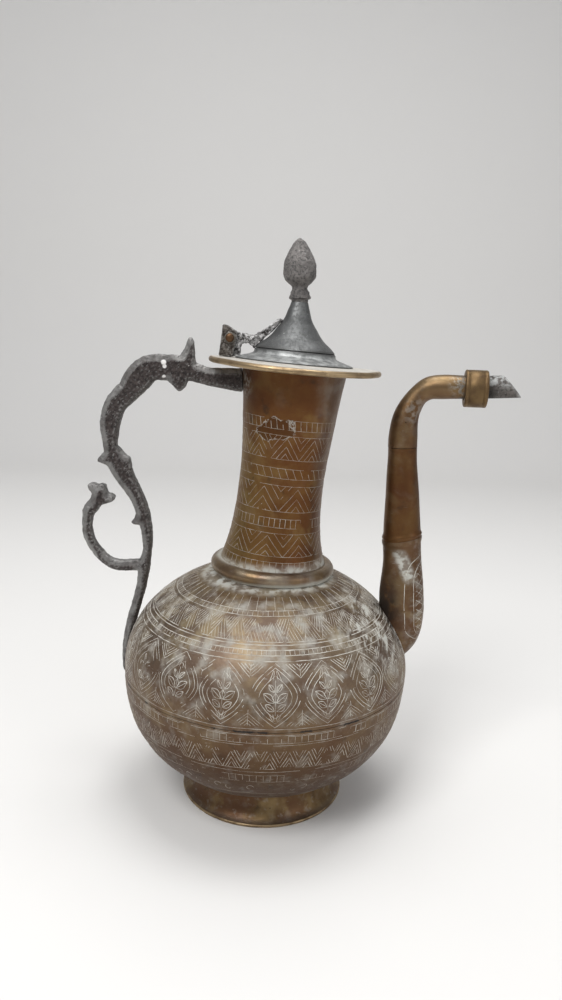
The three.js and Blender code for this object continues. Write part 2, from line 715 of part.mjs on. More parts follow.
const copper = new THREE.MeshStandardMaterial({ color: 0x7a5232, roughness: 0.5, metalness: 0.9 });
const brass = new THREE.MeshStandardMaterial({ color: 0xa07d4a, roughness: 0.45, metalness: 0.9 });
const tinned = new THREE.MeshStandardMaterial({ color: 0x7f8080, roughness: 0.5, metalness: 0.85 });
const casting = new THREE.MeshStandardMaterial({ color: 0x55504c, roughness: 0.6, metalness: 0.8 });

function piece(name, geometry, material) {
  geometry.computeVertexNormals();
  const mesh = new THREE.Mesh(geometry, material);
  mesh.name = name;
  return mesh;
}

const ewer = new THREE.Group();
ewer.add(
  piece("foot_rim", footRim(), brass),
  piece("foot_ring", footRing(), copper),
  piece("body_lower", bodyLower(), copper),
  piece("body_upper", bodyUpper(), copper),
  piece("neck_ring", neckRing(), copper),
  piece("neck_tube", neckTube(), copper),
  piece("handle", handle(), casting),
  piece("spout_base", spoutBase(), copper),
  piece("spout_shaft", spoutShaft(), copper),
  piece("spout_bend", spoutBend(), copper),
  piece("spout_collar", spoutCollar(), brass),
  piece("spout_tip", spoutTip(), casting),
);

const head = new THREE.Group();
head.position.set(mouthShift, 0, mouthHeight);
head.rotation.y = radians(headLean);
head.add(
  piece("rim_plate", rimPlate(), brass),
  piece("hinge_ear_front", hingeEar(-1), casting),
  piece("hinge_ear_back", hingeEar(1), casting),
  piece("hinge_washer_front", washer(-1), tinned),
  piece("hinge_washer_back", washer(1), tinned),
  piece("hinge_pin", hingePin(), copper),
);
ewer.add(head);

// The lid group turns about the hinge pin
const lid = new THREE.Group();
lid.position.set(-pinOut, 0, pinUp);
const lidPiece = (name, geometry, material, x) => {
  const mesh = piece(name, geometry, material);
  mesh.position.set(pinOut + x, 0, -pinUp);
  return mesh;
};
lid.add(
  lidPiece("lid_cover", lidCover(), tinned, lidShift),
  lidPiece("lid_inner_sleeve", lidSleeve(), tinned, lidShift),
  lidPiece("lid_strap", lidStrap(), casting, 0),
);
const top = new THREE.Group();
top.position.set(pinOut + lidShift, 0, lidHeight - pinUp);
const bud = piece("finial", finial(), tinned);
bud.rotation.y = radians(finialLean);
top.add(bud, piece("finial_rove", finialRove(), tinned));
lid.add(top);
head.add(lid);

// Stand the ewer over the origin
ewer.updateMatrixWorld(true);
const middle = new THREE.Box3().setFromObject(ewer, true).getCenter(new THREE.Vector3());
ewer.position.set(-middle.x, -middle.y, 0);

export default ewer;
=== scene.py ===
"""Looks of a sheet-copper ewer: smooth skins over its solids, engraving, old finishes and a studio.

Lengths are millimetres, measured from the axis of the belly, until a mesh is made.
"""

from __future__ import annotations

import logging
from dataclasses import dataclass
from enum import Enum
from math import acos, asin, cos, degrees, exp, hypot, pi, radians, sin, sqrt, tan
from typing import Callable, Iterable, Sequence, Union
import bmesh  # noqa: E402
import bpy  # noqa: E402
from bpy.types import Curve, Material, Mesh, Object  # noqa: E402
from mathutils import Matrix, Vector, noise  # noqa: E402
from mathutils.kdtree import KDTree  # noqa: E402


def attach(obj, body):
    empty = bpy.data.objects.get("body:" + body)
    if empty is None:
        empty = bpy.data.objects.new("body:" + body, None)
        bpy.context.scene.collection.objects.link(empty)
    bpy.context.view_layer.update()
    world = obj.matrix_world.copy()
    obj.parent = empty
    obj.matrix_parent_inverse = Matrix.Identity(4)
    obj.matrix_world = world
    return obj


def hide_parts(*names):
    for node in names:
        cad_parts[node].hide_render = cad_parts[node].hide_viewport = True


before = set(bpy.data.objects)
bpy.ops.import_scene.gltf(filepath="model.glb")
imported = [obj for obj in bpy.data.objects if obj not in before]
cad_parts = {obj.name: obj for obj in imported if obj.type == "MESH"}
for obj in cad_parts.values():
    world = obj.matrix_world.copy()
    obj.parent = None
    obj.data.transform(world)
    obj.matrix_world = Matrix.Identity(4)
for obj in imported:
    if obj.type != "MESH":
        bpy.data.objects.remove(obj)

log = logging.getLogger("ewer")

MM = 0.001
BELLY_X = -14.19  # axis of the belly, from the middle of the whole ewer
SHEET = 1.5  # thickness of the vessel's sheet
FIT = 0.3  # gap between parts that are put together
AXIS_RADIUS = 1e-3  # a smaller radius is a point on the axis
COARSE, FINE, PIT = 5.5, 1.7, 1.2  # sizes of the unevenness of a casting
PIT_FROM = 0.28  # how high the noise is where a pit begins
WORN_BENDS = (0.03, 0.13)  # bend at which an edge begins to shine, and at which it is bare
Flat = tuple[float, float]
Colour = tuple[float, float, float]
Place = tuple[float, float, float]
Stroke = list[Flat]
Masks = dict[str, "Wire"]


class Body(Enum):
    """The two bodies that pieces ride on."""

    VESSEL = "vessel"
    LID = "lid"


class Slot(Enum):
    """Material slots of the record."""

    COPPER = "copper_sheet"
    BRASS = "bare_brass"
    TINNED = "tinned_copper"
    CASTING = "dark_casting"


# Lines and skins


def spaced(start: float, stop: float, steps: int) -> list[float]:
    """Even numbers from start to stop, one more than the steps between them."""
    return [start + (stop - start) * i / steps for i in range(steps + 1)]


def eased(value: float, low: float, high: float) -> float:
    """Smooth step of a value, from 0 at low to 1 at high."""
    share = min(1.0, max(0.0, (value - low) / (high - low)))
    return share * share * (3 - 2 * share)


def cubic(start: Vector, stop: Vector, leave: Vector, arrive: Vector, share: float) -> Vector:
    """Point at a share of a cubic from start to stop, which leaves and arrives with given slopes."""
    square, cube = -3 * start + 3 * stop - 2 * leave - arrive, 2 * start - 2 * stop + leave + arrive
    return start + leave * share + square * share**2 + cube * share**3


class Swing:
    """A smooth line through points, with its knots spaced by the root of their distance."""

    STEP = 0.002  # in stations, for a direction

    def __init__(self, points: Sequence[Sequence[float]]) -> None:
        """Keeps the points, each of equally many numbers."""
        self.points = [Vector(point) for point in points]
        self.last = len(self.points) - 1

    def at(self, station: float) -> Vector:
        """Point at a station.

        Args:
            station: Index of a point, whole or a fraction.

        Returns:
            The point.
        """
        first = min(int(station), self.last - 1)
        near, far = self.points[first], self.points[first + 1]
        before = self.points[first - 1] if first > 0 else 2 * near - far
        after = self.points[first + 2] if first + 2 <= self.last else 2 * far - near
        gaps = [sqrt((b - a).length) for a, b in ((before, near), (near, far), (far, after))]
        leave = (near - before) / gaps[0] - (far - before) / (gaps[0] + gaps[1]) + (far - near) / gaps[1]
        arrive = (far - near) / gaps[1] - (after - near) / (gaps[1] + gaps[2]) + (after - far) / gaps[2]
        return cubic(near, far, leave * gaps[1], arrive * gaps[1], station - first)

    def run(self, station: float) -> Vector:
        """Direction at a station, of length 1."""
        low, high = max(0.0, station - self.STEP), min(float(self.last), station + self.STEP)
        return (self.at(high) - self.at(low)).normalized()


def spline(points: Sequence[Flat], steps: int) -> list[Flat]:
    """Smooth profile through points with evenly spaced knots.

    Args:
        points: Radius and height pairs.
        steps: Count of the gaps between the points returned.

    Returns:
        Radius and height pairs.
    """
    knots = [Vector(point) for point in points]
    last = len(knots) - 1
    made = []
    for place in spaced(0, last, steps):
        first = min(int(place), last - 1)
        before = knots[max(0, first - 1)]
        after = knots[min(last, first + 2)]
        near, far = knots[first], knots[first + 1]
        point = cubic(near, far, (far - before) / 2, (after - near) / 2, place - first)
        made.append((point.x, point.y))
    return made


def arc(middle: Flat, reach: Flat, start: float, stop: float, steps: int) -> list[Flat]:
    """Points of an ellipse about a middle, between two angles in degrees from straight outwards."""
    turns = [radians(angle) for angle in spaced(start, stop, steps)]
    return [(middle[0] + reach[0] * cos(turn), middle[1] + reach[1] * sin(turn)) for turn in turns]


def ripple(side: Vector, height: float, often: float, tall: float) -> float:
    """Noise about 0 round an upright form, often for its waves round it, tall for their height."""
    return noise.noise(Vector((side.x * often, side.y * often, height / tall)))


@dataclass
class Skin:
    """Points about the belly's axis and the faces between them."""

    points: list[Vector]
    faces: list[tuple[int, ...]]

    def placed(self, matrix: Matrix) -> Skin:
        """The same skin moved by a matrix."""
        return Skin([matrix @ point for point in self.points], self.faces)

    def pushed(self, push: Callable[[Vector], Vector]) -> Skin:
        """The same skin with each point moved by a function."""
        return Skin([push(point) for point in self.points], self.faces)

    def mesh(self) -> Mesh:
        """Makes a closed mesh whose faces point outwards.

        Returns:
            The mesh, in metres, in the row's frame.
        """
        mesh = bpy.data.meshes.new("skin")
        shift = Vector((BELLY_X, 0, 0))
        mesh.from_pydata([(point + shift) * MM for point in self.points], [], self.faces)
        sheets = bmesh.new()
        sheets.from_mesh(mesh)
        bmesh.ops.remove_doubles(sheets, verts=sheets.verts, dist=1e-7)
        bmesh.ops.recalc_face_normals(sheets, faces=sheets.faces)
        if sheets.calc_volume(signed=True) < 0:
            bmesh.ops.reverse_faces(sheets, faces=sheets.faces)
        sheets.to_mesh(mesh)
        sheets.free()
        return mesh


def circle(around: int) -> list[Flat]:
    """Cosine and sine of each angle of a full turn."""
    turns = [2 * pi * j / around for j in range(around)]
    return [(cos(turn), sin(turn)) for turn in turns]


def turned(profile: Sequence[Flat], around: int) -> Skin:
    """Turns a profile about the upright axis.

    Args:
        profile: Radius and height pairs. It closes on itself unless it starts on the axis.
        around: Points in a full turn.

    Returns:
        A closed skin.
    """
    points, rows = [], []
    for radius, height in profile:
        first = len(points)
        if radius < AXIS_RADIUS:
            points.append(Vector((0, 0, height)))
            rows.append([first] * around)
            continue
        points += [Vector((radius * cosine, radius * sine, height)) for cosine, sine in circle(around)]
        rows.append(list(range(first, first + around)))
    if profile[0][0] >= AXIS_RADIUS:
        rows.append(rows[0])
    return Skin(points, walls(rows, around))


def walls(rows: Sequence[Sequence[int]], around: int) -> list[tuple[int, ...]]:
    """Faces between rows of point numbers.

    Args:
        rows: Rows of equal length. A row of one number is a pole.
        around: Length of a row.

    Returns:
        Four-cornered faces, or three-cornered ones at a pole.
    """
    faces = []
    for low, high in zip(rows, rows[1:]):
        for j in range(around):
            k = (j + 1) % around
            corners = dict.fromkeys((low[j], low[k], high[k], high[j]))
            if len(corners) > 2:
                faces.append(tuple(corners))
    return faces


def skinned(rings: Sequence[Sequence[Vector]]) -> Skin:
    """Skins a loop of rings into one tube with a bore.

    Args:
        rings: Rings of equally many points, out along the tube and back through its bore.

    Returns:
        A closed skin.
    """
    around = len(rings[0])
    rows = [list(range(i * around, (i + 1) * around)) for i in range(len(rings))]
    rows.append(rows[0])
    return Skin([point for ring in rings for point in ring], walls(rows, around))


def hoop(centre: Vector, run: Vector, radius: float, depth: float, around: int) -> list[Vector]:
    """Oval ring about a line that lies in the X-Z plane.

    Args:
        centre: Middle of the ring, whose second number isn't used.
        run: Direction of the line.
        radius: Half width in the plane.
        depth: Half width across the plane, as a share of the radius.
        around: Points of the ring.

    Returns:
        The ring's points.
    """
    across = Vector((run.z, 0, -run.x)).normalized()
    ring = []
    for cosine, sine in circle(around):
        point = Vector((centre.x, 0, centre.z)) + across * (radius * cosine)
        point.y = radius * depth * sine
        ring.append(point)
    return ring


def evaluated(thing: Object) -> Mesh:
    """Plain mesh of an object with its modifiers done.

    Args:
        thing: The object.

    Returns:
        A mesh of its own.
    """
    bpy.context.view_layer.update()
    graph = bpy.context.evaluated_depsgraph_get()
    return bpy.data.meshes.new_from_object(thing.evaluated_get(graph), depsgraph=graph)


def scratch(name: str, data: Union[Mesh, Curve]) -> Object:
    """Links a helper object, which is removed again with drop.

    Args:
        name: Its name.
        data: Its mesh, curve, camera or lamp.

    Returns:
        The object.
    """
    thing = bpy.data.objects.new(name, data)
    bpy.context.scene.collection.objects.link(thing)
    return thing


def drop(*things: Object) -> None:
    """Removes helper objects."""
    for thing in things:
        bpy.data.objects.remove(thing)


def sloped_band(skin: bmesh.types.BMesh, band: float) -> list[float]:
    """Slopes both faces of an upright slab down to its outer edge, as the file left them.

    Args:
        skin: The slab's mesh, with its normals ready.
        band: Width of the slope.

    Returns:
        For each vertex 1 on the slope and 0 off it, which places the highlight painted on the slope.
    """
    outward = Vector((-0.75, 0, 0.66))
    sides = [vertex for vertex in skin.verts if abs(vertex.normal.y) < 0.5]
    edge = [vertex.co for vertex in sides if vertex.normal.dot(outward) > 0.15]
    tree = KDTree(len(edge))
    for i, point in enumerate(edge):
        tree.insert((point.x, 0, point.z), i)
    tree.balance()
    shares = []
    for vertex in skin.verts:
        wide = band * (1 + 0.25 * noise.noise(vertex.co / 9))
        away = tree.find((vertex.co.x, 0, vertex.co.z))[2]
        shares.append(eased(wide - away, 0, 0.7) if vertex.co.y else 0.0)
        vertex.co.y *= 1 - 0.34 * max(0.0, 1 - away / wide)
    return shares


def cast_skin(
    node: str, grain: float, rough: float, seed: float, lump: float = 1.0, band: float = 0.0
) -> Mesh:
    """Copies a solid as one even, rough-cast skin with rounded edges.

    Args:
        node: Name of the solid.
        grain: Size of the skin's faces.
        rough: How far the skin rises and falls.
        seed: Shifts the roughness.
        lump: Size of the lumps.
        band: Width of the slope along the outer edge, which is painted lighter as a highlight.

    Returns:
        A mesh in metres with an attribute edge_wear_and_highlight, which is 1 on worn outer edges and on the
        sloped band, where a highlight is painted.
    """
    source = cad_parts[node].data.copy()
    source.transform(Matrix.Scale(1 / MM, 4))
    clean = bmesh.new()
    clean.from_mesh(source)
    bmesh.ops.remove_doubles(clean, verts=clean.verts, dist=1e-3)
    clean.to_mesh(source)
    clean.free()
    helper = scratch("casting_blank", source)
    remesh = helper.modifiers.new("even", "REMESH")
    remesh.mode = "VOXEL"
    remesh.voxel_size = grain
    mesh = evaluated(helper)
    drop(helper)
    skin = bmesh.new()
    skin.from_mesh(mesh)
    axes = {f"use_axis_{axis}": True for axis in "xyz"}
    for _ in range(3):
        bmesh.ops.smooth_vert(skin, verts=skin.verts, factor=0.5, **axes)
    skin.normal_update()
    slope = sloped_band(skin, band) if band else [0.0] * len(skin.verts)
    skin.normal_update()
    shift = Vector((seed, seed, seed))
    for vertex in skin.verts:
        coarse = noise.noise(vertex.co / (COARSE * lump) + shift)
        fine = noise.noise(vertex.co / FINE + shift)
        pit = max(0.0, noise.noise(vertex.co / PIT - shift) - PIT_FROM)
        vertex.co += vertex.normal * rough * (0.6 * coarse + 0.55 * fine - 1.3 * pit)
    skin.normal_update()
    bends = []
    for vertex in skin.verts:
        beside = [edge.other_vert(vertex).co for edge in vertex.link_edges]
        lean = [(vertex.co - place).normalized().dot(vertex.normal) for place in beside]
        bends.append(sum(lean) / max(1, len(lean)))
    skin.to_mesh(mesh)
    skin.free()
    mesh.transform(Matrix.Scale(MM, 4))
    wear = mesh.attributes.new("edge_wear_and_highlight", "FLOAT", "POINT")
    # lighter on worn outer edges, and a painted highlight on the sloped outer band
    worn = [max(eased(bend, *WORN_BENDS), share) for bend, share in zip(bends, slope)]
    wear.data.foreach_set("value", worn)
    return mesh


def add_piece(
    name: str,
    shape: Union[Skin, Mesh],
    material: Material,
    slot: Slot,
    nodes: Sequence[str] = (),
    body: Body = Body.VESSEL,
    crease: float = 38,
) -> Object:
    """Puts a finished piece on the ewer.

    Args:
        name: Name of the piece.
        shape: Its skin, or its mesh in metres.
        material: Its finish.
        slot: The record's material slot; not used.
        nodes: Solids that it stands for.
        body: What it rides on.
        crease: Angle from which an edge stays sharp, in degrees.

    Returns:
        The piece.
    """
    mesh = shape.mesh() if isinstance(shape, Skin) else shape
    mesh.name = name
    mesh.shade_smooth()
    mesh.set_sharp_from_angle(angle=radians(crease))
    mesh.materials.clear()
    mesh.materials.append(material)
    piece = scratch(name, mesh)
    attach(piece, body.value)
    if nodes:
        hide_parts(*nodes)
    log.info("%s: %d faces", name, len(mesh.polygons))
    return piece


# Node trees


@dataclass(frozen=True)
class Wire:
    """One output socket, whose sums are written as Python."""

    bench: Bench
    socket: bpy.types.NodeSocket

    def other(self, output: Key) -> Wire:
        """Another output of the same node."""
        return Wire(self.bench, self.socket.node.outputs[output])

    def _sum(self, operation: str, left: Value, right: Value) -> Wire:
        """Adds one Math node."""
        return self.bench.add("ShaderNodeMath", {"operation": operation}, {0: left, 1: right})

    def __add__(self, value: Value) -> Wire:
        """self + value."""
        return self._sum("ADD", self, value)

    __radd__ = __add__

    def __sub__(self, value: Value) -> Wire:
        """self - value."""
        return self._sum("SUBTRACT", self, value)

    def __rsub__(self, value: Value) -> Wire:
        """value - self."""
        return self._sum("SUBTRACT", value, self)

    def __mul__(self, value: Value) -> Wire:
        """self * value."""
        return self._sum("MULTIPLY", self, value)

    __rmul__ = __mul__

    def __truediv__(self, value: Value) -> Wire:
        """self / value."""
        return self._sum("DIVIDE", self, value)

    def __rtruediv__(self, value: Value) -> Wire:
        """value / self."""
        return self._sum("DIVIDE", value, self)

    def __abs__(self) -> Wire:
        """Size without its sign."""
        return self.bench.add("ShaderNodeMath", {"operation": "ABSOLUTE"}, {0: self})


Value = Union[Wire, float, int]
Key = Union[int, str]


class Bench:
    """Adds nodes to one tree."""

    def __init__(self, tree: bpy.types.NodeTree) -> None:
        """Keeps the tree."""
        self.tree = tree

    def add(
        self,
        kind: str,
        settings: dict[str, object] | None = None,
        sockets: dict[Key, object] | None = None,
        output: Key = 0,
    ) -> Wire:
        """Adds a node.

        Args:
            kind: Type of the node.
            settings: Values of its properties, which are set first.
            sockets: Values or wires of its inputs.
            output: The output that is returned.

        Returns:
            The wire of that output.
        """
        node = self.tree.nodes.new(kind)
        for key, value in (settings or {}).items():
            setattr(node, key, value)
        self.feed(node, sockets or {})
        return Wire(self, node.outputs[output]) if len(node.outputs) else Wire(self, node.inputs[0])

    def feed(self, node: bpy.types.Node, sockets: dict[Key, object]) -> None:
        """Connects the inputs of a node, or sets them.

        Args:
            node: The node.
            sockets: Values or wires of its inputs.
        """
        for key, value in sockets.items():
            if isinstance(value, Wire):
                self.tree.links.new(value.socket, node.inputs[key])
            else:
                node.inputs[key].default_value = value

    def vector(self, operation: str, first: object, second: object = None, output: Key = 0) -> Wire:
        """Adds a Vector Math node. SCALE takes a number second, the others a vector or nothing."""
        more = {} if second is None else {"Scale" if operation == "SCALE" else 1: second}
        return self.add("ShaderNodeVectorMath", {"operation": operation}, {0: first, **more}, output)

    def ease(self, value: Value, low: float, high: float) -> Wire:
        """Smooth step from 0 at low to 1 at high."""
        settings = {"interpolation_type": "SMOOTHSTEP"}
        return self.add("ShaderNodeMapRange", settings, {"Value": value, "From Min": low, "From Max": high})


class Finish(Bench):
    """A metal finish drawn in millimetres about the belly's axis."""

    def __init__(self, name: str) -> None:
        """Starts a material with one shader.

        Args:
            name: Name of the material.
        """
        self.material = bpy.data.materials.new(name)
        self.material.use_nodes = True
        super().__init__(self.material.node_tree)
        self.tree.nodes.clear()
        self.shader = self.add("ShaderNodeBsdfPrincipled").socket.node
        surface = Wire(self, self.shader.outputs[0])
        self.add("ShaderNodeOutputMaterial", {}, {"Surface": surface})
        place = self.add("ShaderNodeTexCoord", {}, {}, "Object")
        scaled = self.vector("SCALE", place, 1 / MM)
        self.place = self.vector("SUBTRACT", scaled, (BELLY_X, 0, 0))
        split = self.add("ShaderNodeSeparateXYZ", {}, {0: self.place})
        self.x = split
        self.y = split.other("Y")
        self.z = split.other("Z")
        self.out = self.vector("LENGTH", self.vector("MULTIPLY", self.place, (1, 1, 0)), None, "Value")

    def cloud(self, size: float, detail: float = 3, rough: float = 0.55, stretch: Place = (1, 1, 1)) -> Wire:
        """Noise from 0 to 1, with patches of a size, which stretch shrinks along each axis."""
        at = {"Vector": self.vector("MULTIPLY", self.place, stretch), "Scale": 1 / size}
        return self.add("ShaderNodeTexNoise", {}, {**at, "Detail": detail, "Roughness": rough})

    def patches(self, size: float, low: float, high: float, detail: float = 3) -> Wire:
        """Noise cut into patches with soft edges."""
        return self.ease(self.cloud(size, detail), low, high)

    def specks(self, size: float, radius: float) -> Wire:
        """Scattered round specks, 1 in their middle."""
        near = self.add("ShaderNodeTexVoronoi", {"feature": "F1"}, {"Vector": self.place, "Scale": 1 / size})
        return self.ease(near, radius / size, radius / size * 0.5) * self.patches(3.1 * size, 0.52, 0.6, 1)

    def near(self, point: Place, reach: float, core: float = 0.0) -> Wire:
        """1 near a point, falling to 0 at a distance from it."""
        return self.ease(self.vector("DISTANCE", self.place, point, "Value"), reach, core)

    def blend(self, share: Value, low: object, high: object) -> Wire:
        """Mixes two colours, each a wire or three numbers."""
        ends = {i: end if isinstance(end, Wire) else (*end, 1.0) for i, end in ((6, low), (7, high))}
        return self.add("ShaderNodeMix", {"data_type": "RGBA", "clamp_factor": True}, {0: share, **ends}, 2)

    def close(
        self, colour: Wire, roughness: Value, metallic: Value, relief: Wire, height: float
    ) -> Material:
        """Connects the finish to its shader.

        Args:
            colour: Base colour.
            roughness: Roughness.
            metallic: Share of bare metal.
            relief: Height of the surface, 0 to 1.
            height: What 1 is, in millimetres.

        Returns:
            The material.
        """
        bump = self.add("ShaderNodeBump", {}, {"Strength": 1.0, "Distance": height * MM, "Height": relief})
        fed = {"Base Color": colour, "Roughness": roughness, "Metallic": metallic, "Normal": bump}
        self.feed(self.shader, fed)
        return self.material


# Finishes


@dataclass(frozen=True)
class CopperFinish:
    """Old browned copper, with worn golden places and pale residue; on some pieces its masks also paint
    shade, a red reflection and highlights.
    """

    name: str
    brown: Colour = (0.16, 0.1, 0.052)
    red: Colour = (0.115, 0.06, 0.032)
    golden: Colour = (0.27, 0.195, 0.1)
    dark: Colour = (0.035, 0.027, 0.02)
    residue: Colour = (0.5, 0.5, 0.455)
    gold_share: float = 0.45
    dust: float = 0.2
    matt: float = 0.34

    def material(self, zones: Callable[[Finish], Masks] | None = None) -> Material:
        """Builds the finish.

        Args:
            zones: Gives masks named gold, pale, low and a near-black one for one piece. Gold is worn golden
                metal, partly a painted highlight on the upper belly and the bend's top; pale is residue,
                partly a painted highlight on the upper belly; the near-black mask is painted shade between
                parts and the belly's seam crack; low is painted shade with a red reflection, and on the neck
                also its dark scar.

        Returns:
            The material.
        """
        bench = Finish(self.name)
        mask = zones(bench) if zones else {}
        tone = bench.cloud(26, 5, 0.62)
        colour = bench.blend(bench.ease(tone, 0.36, 0.66), self.red, self.brown)
        gold = bench.patches(15, 0.5, 0.72) * self.gold_share
        # gold: worn golden metal, partly a painted highlight on the upper belly and the bend's top
        if "gold" in mask:
            gold = gold + mask["gold"]
        colour = bench.blend(gold, colour, self.golden)
        # low blends towards a deep red: painted shade with a red reflection, and the neck's dark scar
        if "low" in mask:
            colour = bench.blend(mask["low"], colour, tuple(0.62 * part for part in self.red))
        stains = bench.patches(7, 0.56, 0.78, 5) * 0.55
        colour = bench.blend(stains, colour, self.dark)
        film = bench.patches(9, 0.5, 0.8, 6) * self.dust
        scuff = bench.ease(bench.cloud(4.5, 4, 0.6, (1, 1, 5)), 0.62, 0.78) * (self.dust * 1.4)
        pale = film + scuff
        # pale: residue, partly a painted highlight on the upper belly
        if "pale" in mask:
            pale = pale + mask["pale"]
        colour = bench.blend(pale, colour, self.residue)
        specks = bench.specks(5.5, 0.55)
        colour = bench.blend(specks * 0.85, colour, self.dark)
        metallic = 0.88 - 0.75 * bench.ease(pale, 0.1, 0.8)
        # near-black and less metallic: painted shade between parts, and the dark crack along the belly's seam
        if "soot" in mask:
            colour = bench.blend(mask["soot"], colour, (0.012, 0.01, 0.009))
            metallic = metallic - 0.6 * mask["soot"]
        wear = bench.cloud(3, 4, 0.65)
        roughness = self.matt + 0.2 * wear + 0.3 * bench.ease(pale, 0.1, 0.9)
        relief = bench.cloud(9, 2) * 0.55 + bench.cloud(1.3, 4, 0.7) * 0.3 + pale * 0.25
        return bench.close(colour, roughness, metallic, relief, 0.35)


@dataclass(frozen=True)
class BrassFinish:
    """Bare worn brass with brown stains."""

    name: str
    brass: Colour = (0.36, 0.265, 0.155)
    brown: Colour = (0.13, 0.08, 0.042)
    pale: Colour = (0.62, 0.6, 0.55)
    brown_share: float = 0.7
    matt: float = 0.28

    def material(self, whitened: Callable[[Finish], Wire] | None = None) -> Material:
        """Builds the finish.

        Args:
            whitened: Gives the mask of the parts that are whitened.

        Returns:
            The material.
        """
        bench = Finish(self.name)
        stain = bench.patches(8, 0.42, 0.68, 5) * self.brown_share
        colour = bench.blend(stain, self.brass, self.brown)
        shine = bench.patches(3, 0.62, 0.75, 2) * 0.5
        colour = bench.blend(shine, colour, tuple(1.5 * part for part in self.brass))
        metallic: Value = 0.95 - 0.2 * stain
        roughness = self.matt + 0.22 * bench.cloud(3, 4, 0.65) + 0.1 * stain
        relief = bench.cloud(6, 2) * 0.5 + bench.cloud(0.9, 4, 0.7) * 0.3
        if whitened:
            white = whitened(bench)
            mottled = bench.blend(bench.patches(6, 0.35, 0.8, 7) * 0.75, self.pale, (0.34, 0.32, 0.29))
            colour = bench.blend(white, colour, mottled)
            metallic = metallic - 0.6 * white
            roughness = roughness + 0.2 * white
        return bench.close(colour, roughness, metallic, relief, 0.2)


@dataclass(frozen=True)
class TinFinish:
    """Dull grey tinning with dark pits and bright scratches."""

    name: str
    grey: Colour = (0.19, 0.194, 0.192)
    dark: Colour = (0.085, 0.085, 0.082)
    bright: Colour = (0.5, 0.51, 0.5)
    rough_cast: float = 0.0

    def material(self, lines: Callable[[Finish], Masks] | None = None) -> Material:
        """Builds the finish.

        Args:
            lines: Gives masks named dark and light for one piece. Dark carries painted shadow and shade as
                well as a dark join; light carries a painted highlight as well as a bright cut and a light
                flange.

        Returns:
            The material.
        """
        bench = Finish(self.name)
        mask = lines(bench) if lines else {}
        tone = bench.cloud(11, 5, 0.62)
        dull = tuple(0.66 * part for part in self.grey)
        colour = bench.blend(bench.ease(tone, 0.35, 0.68), dull, self.grey)
        pits = bench.ease(bench.cloud(1.5, 4, 0.72), 0.49, 0.62) * (0.45 + 0.45 * self.rough_cast)
        colour = bench.blend(pits, colour, self.dark)
        scratch_a = bench.ease(bench.cloud(2.6, 3, 0.6, (4, 4, 0.7)), 0.66, 0.74)
        scratch_b = bench.ease(bench.cloud(2.2, 3, 0.6, (0.8, 3, 4)), 0.67, 0.74)
        bright = scratch_a * 0.5 + scratch_b * 0.5 + bench.specks(3.2, 0.5) * 0.6
        colour = bench.blend(bright, colour, self.bright)
        if mask:
            # dark: painted shadow and shade, and a dark join; light: a painted highlight, and a bright cut
            # and flange
            colour = bench.blend(mask["dark"], colour, self.dark)
            colour = bench.blend(mask["light"], colour, self.bright)
        metallic = 0.92 - 0.45 * pits
        roughness = 0.36 + 0.26 * bench.cloud(2.2, 4, 0.65) + 0.2 * pits + 0.08 * self.rough_cast
        grain = bench.cloud(0.9, 4, 0.72) * (0.35 + self.rough_cast)
        relief = bench.cloud(5, 2) * 0.3 + grain - pits * 0.4
        return bench.close(colour, roughness, metallic, relief, 0.36 + 0.3 * self.rough_cast)


@dataclass(frozen=True)
class CastFinish:
    """Dark pitted casting, lighter where its edges are worn, with a painted highlight on the handle's sloped
    outer band.
    """

    name: str
    dark: Colour = (0.022, 0.017, 0.016)
    mid: Colour = (0.075, 0.06, 0.056)
    # worn: colour of worn edges, also used for the highlight painted on the handle's outer band
    worn: Colour = (0.3, 0.295, 0.285)
    worn_share: float = 1.0
    bevel_only: bool = True

    def material(self, drops: Callable[[Finish], Wire] | None = None) -> Material:
        """Builds the finish.

        Args:
            drops: Gives the mask of white paint.

        Returns:
            The material.
        """
        bench = Finish(self.name)
        grain = bench.cloud(2.1, 5, 0.7)
        colour = bench.blend(bench.ease(grain, 0.34, 0.66), self.dark, self.mid)
        edge = bench.add("ShaderNodeAttribute", {"attribute_name": "edge_wear_and_highlight"}, {}, "Fac")
        patch = bench.cloud(7, 4, 0.6)
        facing = bench.add("ShaderNodeNewGeometry", {}, {}, "True Normal")
        side = abs(bench.add("ShaderNodeSeparateXYZ", {}, {0: facing}, "Y"))
        bevel = bench.ease(side, 0.9, 0.6) * 0.35 if self.bevel_only else bench.ease(grain, 0.44, 0.6) * 0.8
        spread = 0.45 + 0.55 * bench.ease(patch, 0.34, 0.58)
        # worn edges, and a painted highlight on the handle's sloped outer band
        wear_and_highlight = (edge * 0.75 + bevel) * spread * self.worn_share
        colour = bench.blend(wear_and_highlight, colour, self.worn)
        chips = bench.specks(4.4, 0.5) * 0.6
        colour = bench.blend(chips, colour, (0.6, 0.57, 0.55))
        pits = bench.ease(bench.cloud(1.1, 4, 0.7), 0.56, 0.7)
        colour = bench.blend(pits * 0.6, colour, (0.016, 0.013, 0.012))
        metallic = 0.55 + 0.3 * bench.ease(wear_and_highlight, 0.1, 0.8)
        if drops:
            paint = drops(bench)
            colour = bench.blend(paint, colour, (0.8, 0.78, 0.76))
            metallic = metallic - 0.8 * paint
        roughness = 0.62 - 0.16 * bench.ease(wear_and_highlight, 0.2, 0.9) + 0.12 * (grain - 0.5)
        relief = grain * 0.6 + bench.cloud(0.8, 3, 0.7) * 0.4 - pits * 0.5
        return bench.close(colour, roughness, metallic, relief, 0.7)


